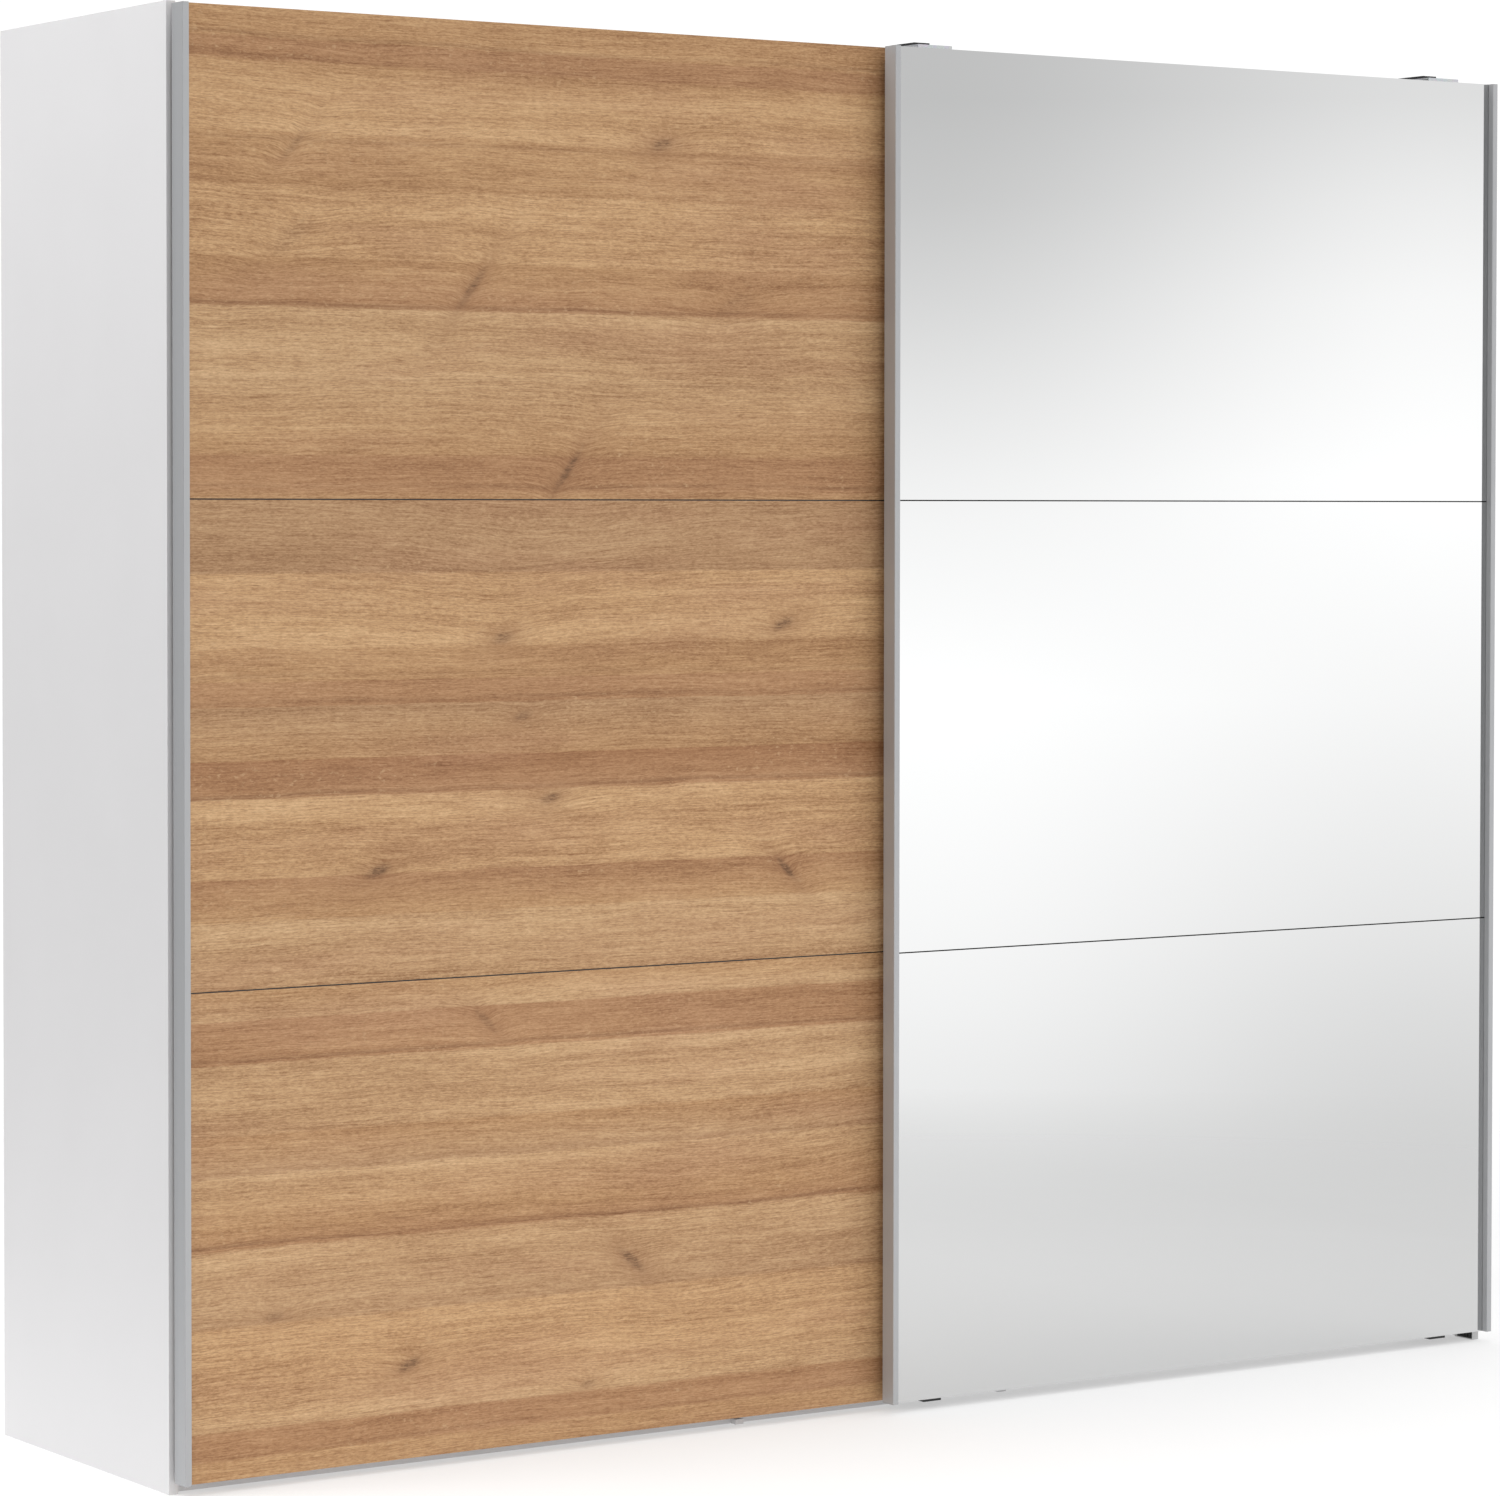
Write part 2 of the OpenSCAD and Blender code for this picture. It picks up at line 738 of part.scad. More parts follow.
module left_door_top_panel() { oak_panel(2); }
module left_door_middle_panel() { oak_panel(1); }
module left_door_bottom_panel() { oak_panel(0); }
module left_door_outer_grip() { at_left_door() left_hand_grip(closing_lip); }
module left_door_inner_grip() { at_left_door() right_hand_grip(0); }
module left_door_joint_strips() { at_left_door() joint_strips(); }
module left_door_cross_rails() { at_left_door() cross_rails(); }

module left_door_carriages() {
    carriages(left_door_x, inner_door_y, inner_arm_z, inner_runway_y);
}

module left_door_guides() {
    guides(left_door_x, inner_door_y, inner_guide_z, inner_fin_y);
}

module left_door_fasteners() {
    fasteners(left_door_x, inner_door_y, inner_runway_y);
}

module left_door_left_wheel() { door_wheel(left_door_x, 0, inner_runway_y); }
module left_door_right_wheel() { door_wheel(left_door_x, 1, inner_runway_y); }

// Right door

module right_door_top_mirror() { mirror_pane(2); }
module right_door_middle_mirror() { mirror_pane(1); }
module right_door_bottom_mirror() { mirror_pane(0); }

module right_door_backing_boards() {
    color(white) at_right_door() for (row = [0 : 2])
        door_pane(row, face_v - mirror_t, door_panel_t - mirror_t);
}

module right_door_inner_grip() { at_right_door() left_hand_grip(0); }
module right_door_outer_grip() { at_right_door() right_hand_grip(0); }
module right_door_joint_strips() { at_right_door() joint_strips(); }
module right_door_cross_rails() { at_right_door() cross_rails(); }

module right_door_carriages() {
    carriages(right_door_x, outer_door_y, outer_arm_z, outer_runway_y);
}

// Black covers on the arms of the front door's carriages
module right_door_carriage_caps() {
    cap_back = outer_runway_y + wheel_w / 2 + hanger_gap + plate_t;
    color(black) at_front() for (cx = carriage_xs(right_door_x))
        translate([cx - hanger_w / 2, cap_front, outer_arm_z + plate_t])
            cube([hanger_w, cap_back - cap_front, cap_h]);
}

module right_door_guides() {
    guides(right_door_x, outer_door_y, outer_guide_z, outer_fin_y);
}

module right_door_fasteners() {
    fasteners(right_door_x, outer_door_y, outer_runway_y);
}

module right_door_left_wheel() { door_wheel(right_door_x, 0, outer_runway_y); }
module right_door_right_wheel() { door_wheel(right_door_x, 1, outer_runway_y); }

left_side_panel();
right_side_panel();
left_partition();
right_partition();
left_top_panel();
middle_top_panel();
right_top_panel();
left_bottom_panel();
middle_bottom_panel();
right_bottom_panel();
left_plinth();
middle_plinth();
right_plinth();
left_back_panel();
middle_back_panel();
right_back_panel();
back_joint_strips();
left_hat_shelf();
right_hat_shelf();
lower_shelf();
centre_shelf();
upper_shelf();
left_clothes_rail();
right_clothes_rail();
rail_sockets();
shelf_pins();
running_track();
guide_rail();
side_strip();
side_strip_seal();
track_end_stops();
cam_locks();
carcass_screws();
wall_brackets();
left_door_top_panel();
left_door_middle_panel();
left_door_bottom_panel();
left_door_outer_grip();
left_door_inner_grip();
left_door_joint_strips();
left_door_cross_rails();
left_door_carriages();
left_door_guides();
left_door_fasteners();
left_door_left_wheel();
left_door_right_wheel();
right_door_top_mirror();
right_door_middle_mirror();
right_door_bottom_mirror();
right_door_backing_boards();
right_door_inner_grip();
right_door_outer_grip();
right_door_joint_strips();
right_door_cross_rails();
right_door_carriages();
right_door_carriage_caps();
right_door_guides();
right_door_fasteners();
right_door_left_wheel();
right_door_right_wheel();
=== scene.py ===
"""Looks for a sliding door wardrobe: an oak door and a mirror door on a white carcass.

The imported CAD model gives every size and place. This script dresses its pieces with procedural
finishes, models the small parts in more detail, and sets up the camera and a plain studio.
"""

import logging
import math
import random
from dataclasses import dataclass, field
from enum import Enum
from functools import cached_property
from typing import Iterable, Sequence

import bmesh
import bpy
from mathutils import Matrix, Vector
from mathutils.geometry import tessellate_polygon


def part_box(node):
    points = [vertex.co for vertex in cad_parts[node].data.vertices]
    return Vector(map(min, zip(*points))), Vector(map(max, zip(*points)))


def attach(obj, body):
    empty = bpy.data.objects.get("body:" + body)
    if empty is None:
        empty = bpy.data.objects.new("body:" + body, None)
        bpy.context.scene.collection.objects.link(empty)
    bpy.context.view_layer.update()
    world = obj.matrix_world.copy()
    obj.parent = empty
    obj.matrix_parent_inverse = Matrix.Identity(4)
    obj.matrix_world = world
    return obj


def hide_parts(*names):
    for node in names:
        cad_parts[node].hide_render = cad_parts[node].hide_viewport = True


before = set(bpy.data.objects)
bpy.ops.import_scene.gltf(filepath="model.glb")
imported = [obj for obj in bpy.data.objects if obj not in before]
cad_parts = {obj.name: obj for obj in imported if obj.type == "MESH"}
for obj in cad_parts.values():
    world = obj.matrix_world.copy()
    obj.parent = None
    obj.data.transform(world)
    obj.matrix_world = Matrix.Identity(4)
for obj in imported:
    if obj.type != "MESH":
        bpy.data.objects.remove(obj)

LOG = logging.getLogger("wardrobe")
MM = 0.001
FINE = 0.3 * MM  # the rounding of thin metal and plastic edges
Socket = bpy.types.NodeSocket
Colour = tuple[float, float, float]
Stops = list[tuple[float, Colour]]
Shape = tuple[list[Vector], list[list[int]]]


class Axis(Enum):
    """The direction that a brushed or drawn finish runs in."""

    X = (1.0, 0.0, 0.0)
    Y = (0.0, 1.0, 0.0)
    Z = (0.0, 0.0, 1.0)


def linear(red: int, green: int, blue: int) -> Colour:
    """Turns a display colour into scene-linear values.

    Args:
        red: display value from 0 to 255.
        green: display value from 0 to 255.
        blue: display value from 0 to 255.

    Returns:
        The three scene-linear values.
    """

    def channel(value: int) -> float:
        """Undoes the display curve for one channel."""
        v = value / 255
        return v / 12.92 if v <= 0.04045 else ((v + 0.055) / 1.055) ** 2.4

    return channel(red), channel(green), channel(blue)


def scaled(colour: Colour, factor: float) -> Colour:
    """Multiplies a colour's three values by one factor."""
    return colour[0] * factor, colour[1] * factor, colour[2] * factor


# --- Shader building ---


class Nodes:
    """Fills one node tree, with short calls for the usual steps."""

    def __init__(self, tree: bpy.types.NodeTree) -> None:
        """Empties the tree and adds its coordinates.

        Args:
            tree: the tree of a material or of the room.
        """
        self.tree = tree
        self.tree.nodes.clear()
        self.coords = self.new("TexCoord")

    def new(self, kind: str) -> bpy.types.Node:
        """Adds a node of a kind, which is named without "ShaderNode"."""
        return self.tree.nodes.new("ShaderNode" + kind)

    def feed(self, socket: Socket, value: object) -> None:
        """Links a socket to another one, or sets its constant.

        Args:
            socket: the input to fill.
            value: an output socket, a number or a sequence of numbers.
        """
        if isinstance(value, Socket):
            self.tree.links.new(value, socket)
        elif socket.type == "RGBA" and len(value) == 3:
            socket.default_value = (*value, 1.0)
        else:
            socket.default_value = value

    def math(self, operation: str, *values: object) -> Socket:
        """Adds a math node.

        Args:
            operation: the node's operation name.
            values: its inputs in order.

        Returns:
            The result socket.
        """
        node = self.new("Math")
        node.operation = operation
        for socket, value in zip(node.inputs, values):
            self.feed(socket, value)
        return node.outputs[0]

    def split(self, vector: Socket) -> tuple[Socket, ...]:
        """Splits a vector into its three values."""
        node = self.new("SeparateXYZ")
        self.feed(node.inputs[0], vector)
        return tuple(node.outputs)

    def remap(
        self,
        value: object,
        low: float,
        high: float,
        to_low: float = 0.0,
        to_high: float = 1.0,
        ease: bool = False,
    ) -> Socket:
        """Maps a range of values to another range, and keeps it inside.

        Args:
            value: the socket to map.
            low: the input that gives to_low.
            high: the input that gives to_high.
            to_low: the result at low.
            to_high: the result at high.
            ease: whether the result eases in and out at the ends.

        Returns:
            The mapped value.
        """
        node = self.new("MapRange")
        node.clamp = True
        node.interpolation_type = "SMOOTHSTEP" if ease else "LINEAR"
        for socket, item in zip(node.inputs, (value, low, high, to_low, to_high)):
            self.feed(socket, item)
        return node.outputs[0]

    def ramp(self, value: object, stops: Sequence[tuple[float, Colour]]) -> Socket:
        """Adds a colour ramp.

        Args:
            value: the position on the ramp, from 0 to 1.
            stops: pairs of position and colour, in rising order.

        Returns:
            The colour.
        """
        node = self.new("ValToRGB")
        band = node.color_ramp
        for end, (position, colour) in zip(band.elements, (stops[0], stops[-1])):
            end.position, end.color = position, (*colour, 1)
        for position, colour in stops[1:-1]:
            band.elements.new(position).color = (*colour, 1)
        self.feed(node.inputs[0], value)
        return node.outputs[0]

    def distance(self, first: object, second: object) -> Socket:
        """Gives the length of a line from its reach along two square axes."""
        squares = self.math("MULTIPLY_ADD", first, first, self.math("MULTIPLY", second, second))
        return self.math("SQRT", squares)

    def shifted(self, value: object, noise: object, reach: float) -> Socket:
        """Shifts a value by a noise times a reach. The noise's middle, 0.5, leaves it in place."""
        return self.math("MULTIPLY_ADD", self.math("SUBTRACT", noise, 0.5), reach, value)

    def blend(self, first: object, second: object, factor: object) -> Socket:
        """Blends two numbers, from the first at factor 0 to the second at 1."""
        rest = self.math("MULTIPLY", first, self.math("SUBTRACT", 1.0, factor))
        return self.math("MULTIPLY_ADD", second, factor, rest)


class Graph(Nodes):
    """The nodes of one material."""

    def __init__(self, name: str) -> None:
        """Starts an empty material with its output and main shader.

        Args:
            name: the material's name.
        """
        self.material = bpy.data.materials.new(name)
        self.material.use_nodes = True
        super().__init__(self.material.node_tree)
        self.shader = self.new("BsdfPrincipled")
        out = self.new("OutputMaterial")
        self.tree.links.new(self.shader.outputs["BSDF"], out.inputs["Surface"])

    @property
    def place(self) -> Socket:
        """The point on the piece, in metres of the shared frame."""
        return self.coords.outputs["Object"]

    def join(self, x: object, y: object, z: object) -> Socket:
        """Joins three values into a vector."""
        node = self.new("CombineXYZ")
        for socket, value in zip(node.inputs, (x, y, z)):
            self.feed(socket, value)
        return node.outputs[0]

    def stretch(self, vector: object, factors: Sequence[float]) -> Socket:
        """Multiplies a vector by a factor for each axis."""
        node = self.new("VectorMath")
        node.operation = "MULTIPLY"
        self.feed(node.inputs[0], vector)
        self.feed(node.inputs[1], tuple(factors))
        return node.outputs[0]

    def noise(
        self, vector: object, scale: float = 1.0, detail: float = 2.0, rough: float = 0.5
    ) -> Socket:
        """Adds a noise texture.

        Args:
            vector: where the noise is read.
            scale: its frequency per metre, after any stretch.
            detail: the number of octaves.
            rough: how strong the finer octaves are.

        Returns:
            The noise value, about 0.5 on average.
        """
        node = self.new("TexNoise")
        self.feed(node.inputs["Vector"], vector)
        node.inputs["Scale"].default_value = scale
        node.inputs["Detail"].default_value = detail
        node.inputs["Roughness"].default_value = rough
        return node.outputs[0]

    def cells(self, vector: object, scale: float) -> Socket:
        """Adds a cell texture and gives each cell's own random colour."""
        node = self.new("TexVoronoi")
        self.feed(node.inputs["Vector"], vector)
        node.inputs["Scale"].default_value = scale
        return node.outputs["Color"]

    def mix(self, factor: object, first: object, second: object, mode: str = "MIX") -> Socket:
        """Mixes two colours.

        Args:
            factor: how much of the second colour is used.
            first: the first colour.
            second: the second colour.
            mode: the blend mode.

        Returns:
            The mixed colour.
        """
        node = self.new("Mix")
        node.data_type = "RGBA"
        node.blend_type = mode
        self.feed(node.inputs[0], factor)
        self.feed(node.inputs[6], first)
        self.feed(node.inputs[7], second)
        return node.outputs[2]

    def bump(self, height: object, depth: float, strength: float = 1.0) -> Socket:
        """Adds surface relief.

        Args:
            height: the relief, from 0 to 1.
            depth: the real height of the relief in metres.
            strength: how much of it is used.

        Returns:
            The bent normal.
        """
        node = self.new("Bump")
        node.inputs["Strength"].default_value = strength
        node.inputs["Distance"].default_value = depth
        self.feed(node.inputs["Height"], height)
        return node.outputs[0]

    def finish(self, **inputs: object) -> bpy.types.Material:
        """Fills the main shader's inputs.

        Args:
            inputs: input names in lower case, with underscores for spaces.

        Returns:
            The finished material.
        """
        names = {socket.name.lower().replace(" ", "_"): socket for socket in self.shader.inputs}
        for name, value in inputs.items():
            self.feed(names[name], value)
        return self.material


# --- Finishes ---


@dataclass(frozen=True)
class Melamine:
    """Satin melamine on board, with edge banding on the faces that look along one axis."""

    name: str
    face: Colour
    edge: Colour
    edge_axis: int = 1
    roughness: float = 0.42

    def material(self) -> bpy.types.Material:
        """Builds the pearl surface, its faint clouds and the banding."""
        g = Graph(self.name)
        clouds = g.noise(g.place, 7.0, 3.0)
        speck = g.noise(g.place, 900.0, 2.0, 0.6)
        face = g.mix(g.remap(clouds, 0.3, 0.7), scaled(self.face, 0.985), self.face)
        face = g.mix(g.remap(speck, 0.62, 0.8, 0.0, 0.1), face, scaled(self.face, 0.9))
        along = g.split(g.coords.outputs["Normal"])[self.edge_axis]
        banded = g.remap(g.math("ABSOLUTE", along), 0.6, 0.8)
        colour = g.mix(banded, face, self.edge)
        rough = g.remap(clouds, 0.2, 0.8, self.roughness - 0.04, self.roughness + 0.05)
        relief = g.bump(g.noise(g.place, 1400.0, 2.0), 0.02 * MM, 0.5)
        return g.finish(
            base_color=colour, roughness=rough, normal=relief, specular_ior_level=0.4
        )


class Tone(Enum):
    """The tones of the planks that the oak decor is printed with."""

    GOLD = linear(201, 159, 115)
    SAND = linear(197, 157, 115)
    TAN = linear(189, 146, 103)
    GREY_TAN = linear(184, 144, 105)
    ROSE = linear(177, 132, 93)
    BROWN = linear(166, 119, 81)


@dataclass(frozen=True)
class Plank:
    """One printed plank, which reaches down from a height in the panel.

    top: the height of its upper edge above the panel's lower edge, in millimetres.
    upper: its tone at its upper edge.
    lower: its tone at its lower edge, where that is another one.
    line: how dark the line along its lower edge is, from 0 to 1.
    """

    top: float
    upper: Tone
    lower: Tone | None = None
    line: float = 0.0


@dataclass(frozen=True)
class Knot:
    """A small knot. x is from the door's middle and z is above the panel's lower edge, in mm.

    size: the length of its dark heart, in mm.
    lean: how steeply it lies across the grain.
    push: how far the grain bends round it, in mm.
    stain: how dark it is, or 0 where only the grain bends.
    """

    x: float
    z: float
    size: float
    lean: float = 0.6
    push: float = 12.0
    stain: float = 1.0


@dataclass(frozen=True)
class Grain:
    """One layer of noise that is drawn out along the grain.

    along: its frequency along the grain, per metre.
    across: its frequency across the grain, per metre.
    detail: how many finer octaves it has.
    rough: how strong those octaves are.
    strength: how much it lightens and darkens, or how far it shifts the lines in metres.
    """

    along: float
    across: float
    detail: float = 2.0
    rough: float = 0.5
    strength: float = 1.0


class Print(Enum):
    """The colours that are printed over the planks' tones."""

    SEAM = scaled(Tone.BROWN.value, 0.72)
    WARM = linear(178, 132, 98)
    FLAKE = linear(212, 176, 134)
    DASH = linear(140, 98, 66)
    HALO = linear(152, 108, 74)
    HEART = linear(104, 74, 52)


@dataclass(frozen=True)
class OakDecor:
    """Printed oak with its grain across the door: planks, growth lines, pores and knots."""

    name: str
    middle_x: float
    low: float
    high: float
    planks: tuple[Plank, ...]
    knots: tuple[Knot, ...]
    seed: float
    layers: tuple[Grain, ...] = (
        Grain(0.6, 9.0, 1.0, 0.5, 0.5),
        Grain(1.1, 32.0, 1.0, 0.5, 0.4),
        Grain(2.0, 120.0, 2.0, 0.6, 0.42),
        Grain(8.0, 22.0, 3.0, 0.65, 0.32),
        Grain(13.0, 520.0, 2.0, 0.7, 0.95),
        Grain(160.0, 560.0, 1.0, 0.7, 0.82),
    )
    shades: tuple[tuple[float, Colour], ...] = (
        (0.0, (0.52, 0.41, 0.34)),
        (0.5, (1.0, 1.0, 1.0)),
        (1.0, (1.4, 1.58, 1.75)),
    )
    wave: Grain = Grain(1.2, 3.0, strength=0.04)
    ripple: Grain = Grain(8.0, 30.0, strength=0.01)
    patch: Grain = Grain(3.0, 14.0, 3.0)
    warmth: Grain = Grain(2.0, 11.0)
    flake: Grain = Grain(75.0, 130.0, rough=0.7)
    dash: Grain = Grain(45.0, 600.0, 1.0)

    def _noise(self, g: Graph, x: object, z: object, grain: Grain, cut: float = 0.0) -> Socket:
        """Reads one layer of noise, in a cut of its own through it."""
        along = g.math("MULTIPLY", x, grain.along)
        across = g.math("MULTIPLY", z, grain.across)
        return g.noise(g.join(along, self.seed + cut, across), 1.0, grain.detail, grain.rough)

    def _away(self, g: Graph, x: object, z: object, knot: Knot) -> Socket:
        """Gives 0 at a knot's heart, and more away from it, sooner across the grain."""
        dx = g.math("SUBTRACT", x, self.middle_x + knot.x * MM)
        dz = g.math("SUBTRACT", z, self.low + knot.z * MM)
        across = g.math("MULTIPLY_ADD", dx, -knot.lean, dz)
        along = g.math("MULTIPLY", dx, 0.8 / (knot.size * MM))
        across = g.math("MULTIPLY", across, 1.7 / (knot.size * MM))
        return g.math("MULTIPLY_ADD", along, along, g.math("MULTIPLY", across, across))

    def _knots(self, g: Graph, x: object, z: object, flow: object) -> tuple[object, object, object]:
        """Bends the grain round the knots.

        Args:
            g: the material's nodes.
            x: the place along the grain.
            z: the place across the grain.
            flow: the place across the grain that the streaks are read at.

        Returns:
            The bent flow, the dark hearts and the stain round them.
        """
        heart: object = 0.0
        stain: object = 0.0
        for knot in self.knots:
            away = self._away(g, x, z, knot)
            spread = g.math("MULTIPLY_ADD", away, 0.12, 1.0)
            flow = g.math("ADD", flow, g.math("DIVIDE", knot.push * MM, spread))
            if knot.stain:
                near = g.math("DIVIDE", knot.stain, g.math("MULTIPLY_ADD", away, away, 1.0))
                heart = g.math("MAXIMUM", heart, near)
                cloud = g.math("DIVIDE", knot.stain, g.math("MULTIPLY_ADD", away, 0.15, 1.0))
                stain = g.math("MAXIMUM", stain, cloud)
        return flow, heart, stain

    def _streaks(self, g: Graph, x: object, flow: object) -> Socket:
        """Adds up the layers of streaks, about 0.5 on average."""
        shade: object = 0.5
        for number, layer in enumerate(self.layers):
            shade = g.shifted(shade, self._noise(g, x, flow, layer, 3.7 * number), layer.strength)
        return shade

    def _boards(self, g: Graph, wave: object, edge: object, patch: object) -> Socket:
        """Lays the planks' tones and the dark lines along their edges.

        Args:
            g: the material's nodes.
            wave: the slow noise that the lines sway with.
            edge: the rippled place across the grain.
            patch: the noise that lets the lines fade in and out.

        Returns:
            The colour.
        """
        height = self.high - self.low
        tones, lines = self._stops(height)
        colour = g.ramp(g.math("DIVIDE", g.math("SUBTRACT", edge, self.low), height), tones)
        sway = g.shifted(edge, wave, 0.03)
        line = g.ramp(g.math("DIVIDE", g.math("SUBTRACT", sway, self.low), height), lines)
        line = g.math("MULTIPLY", line, g.remap(patch, 0.36, 0.6, 0.3, 1.0))
        return g.mix(line, colour, Print.SEAM.value)

    def material(self) -> bpy.types.Material:
        """Builds the printed oak and its pressed pore relief."""
        g = Graph(self.name)
        x, _, z = g.split(g.place)
        wave = self._noise(g, x, z, self.wave)
        ripple = self._noise(g, x, z, self.ripple)
        flow = g.shifted(g.shifted(z, wave, self.wave.strength), ripple, self.ripple.strength)
        flow, heart, stain = self._knots(g, x, z, flow)
        shade = self._streaks(g, x, flow)
        patch = self._noise(g, x, z, self.patch, 3.0)
        colour = self._boards(g, wave, g.shifted(z, ripple, self.ripple.strength / 2), patch)
        warmth = g.remap(self._noise(g, x, z, self.warmth, 9.0), 0.5, 0.7, 0.0, 0.4)
        colour = g.mix(warmth, colour, Print.WARM.value)
        colour = g.mix(1.0, colour, g.ramp(shade, self.shades), "MULTIPLY")
        flake = g.remap(self._noise(g, x, z, self.flake), 0.58, 0.7)
        flake = g.math("MULTIPLY", flake, g.remap(patch, 0.45, 0.6, 0.1, 0.5))
        colour = g.mix(flake, colour, Print.FLAKE.value)
        dashes = self._noise(g, x, flow, self.dash)
        colour = g.mix(g.remap(dashes, 0.6, 0.72, 0.0, 0.5), colour, Print.DASH.value)
        colour = g.mix(g.remap(stain, 0.15, 1.0, 0.0, 0.45), colour, Print.HALO.value)
        broken = g.remap(shade, 0.25, 0.6, 1.0, 0.3)
        heart = g.math("MULTIPLY", g.remap(heart, 0.1, 0.9, 0.0, 0.8), broken)
        colour = g.mix(heart, colour, Print.HEART.value)
        pores = g.math(
            "MAXIMUM", g.remap(dashes, 0.58, 0.72), g.remap(shade, 0.45, 0.2, 0.0, 0.7)
        )
        relief = g.bump(g.math("SUBTRACT", 1.0, pores), 0.12 * MM, 0.5)
        rough = g.remap(pores, 0.0, 1.0, 0.5, 0.68)
        return g.finish(
            base_color=colour, roughness=rough, normal=relief, specular_ior_level=0.3
        )

    def _stops(self, height: float) -> tuple[Stops, Stops]:
        """Turns the planks into ramp stops.

        Args:
            height: the panel's height in metres.

        Returns:
            The stops of the tones and those of the dark lines, from the lower edge up.
        """
        edge = 1.2 * MM / height
        clear = (0.0, 0.0, 0.0)
        tones: Stops = []
        lines: Stops = [(0.0, clear)]
        bottoms = [p.top * MM / height for p in self.planks[1:]] + [0.0]
        for plank, bottom in sorted(zip(self.planks, bottoms), key=lambda pair: pair[1]):
            tones.append((min(bottom + edge, 1.0), (plank.lower or plank.upper).value))
            tones.append((plank.top * MM / height - edge, plank.upper.value))
            if plank.line and bottom > 0:
                lines += [
                    (bottom + 2 * edge, clear),
                    (bottom + 4 * edge, (plank.line,) * 3),
                    (bottom + 9 * edge, clear),
                ]
        lines.append((1.0, clear))
        return tones, lines


@dataclass(frozen=True)
class DrawnMetal:
    """Anodised, plated or chromed metal, with faint marks along the way it was drawn."""

    name: str
    colour: Colour
    metallic: float
    roughness: float
    along: Axis = Axis.Z
    marks: float = 0.06
    spangle: float = 0.0

    def material(self) -> bpy.types.Material:
        """Builds the drawing marks and the clouds of the plating."""
        g = Graph(self.name)
        lengths = [1400.0 if part < 0.5 else 6.0 for part in self.along.value]
        marks = g.noise(g.stretch(g.place, lengths), 1.0, 3.0, 0.6)
        clouds = g.noise(g.place, 26.0, 3.0)
        colour = g.mix(g.remap(marks, 0.3, 0.7), scaled(self.colour, 1 - self.marks), self.colour)
        if self.spangle:
            flakes = g.cells(g.place, 140.0)
            colour = g.mix(self.spangle, colour, flakes, "SOFT_LIGHT")
        rough = g.math(
            "ADD",
            g.remap(clouds, 0.25, 0.75, self.roughness - 0.05, self.roughness + 0.05),
            g.remap(marks, 0.3, 0.7, -0.04, 0.04),
        )
        relief = g.bump(marks, 0.012 * MM, 0.5)
        return g.finish(
            base_color=colour, metallic=self.metallic, roughness=rough, normal=relief
        )


@dataclass(frozen=True)
class Moulded:
    """Moulded plastic with a fine eroded texture and faint flow clouds."""

    name: str
    colour: Colour
    roughness: float = 0.5
    grain: float = 1800.0
    gloss: float = 0.5

    def material(self) -> bpy.types.Material:
        """Builds the eroded skin, with lighter rubbed spots."""
        g = Graph(self.name)
        clouds = g.noise(g.place, 40.0, 3.0)
        pits = g.noise(g.place, self.grain, 2.0, 0.6)
        colour = g.mix(
            g.remap(clouds, 0.45, 0.75, 0.0, 0.25), self.colour, scaled(self.colour, 1.35)
        )
        rough = g.remap(pits, 0.3, 0.7, self.roughness - 0.07, self.roughness + 0.07)
        relief = g.bump(pits, 0.03 * MM, 0.6)
        return g.finish(
            base_color=colour, roughness=rough, normal=relief, specular_ior_level=self.gloss
        )


@dataclass(frozen=True)
class MirrorGlass:
    """Silvered glass with the faintest haze and ground edges."""

    name: str
    tint: Colour

    def material(self) -> bpy.types.Material:
        """Builds the silver seen through clear glass."""
        g = Graph(self.name)
        haze = g.noise(g.place, 3.0, 2.0)
        rough = g.remap(haze, 0.3, 0.8, 0.002, 0.012)
        colour = g.mix(g.remap(haze, 0.2, 0.8), scaled(self.tint, 0.995), self.tint)
        return g.finish(base_color=colour, metallic=1.0, roughness=rough)


@dataclass(frozen=True)
class Pile:
    """The dark fibres of a brush seal."""

    name: str
    colour: Colour

    def material(self) -> bpy.types.Material:
        """Builds fibres of slightly different tones."""
        g = Graph(self.name)
        fibres = g.noise(g.stretch(g.place, (200.0, 400.0, 2600.0)), 1.0, 2.0)
        colour = g.mix(g.remap(fibres, 0.35, 0.7), self.colour, scaled(self.colour, 2.2))
        return g.finish(
            base_color=colour,
            roughness=g.remap(fibres, 0.3, 0.7, 0.75, 0.95),
            normal=g.bump(fibres, 0.2 * MM, 0.7),
            sheen_weight=0.3,
        )


# --- Mesh building ---


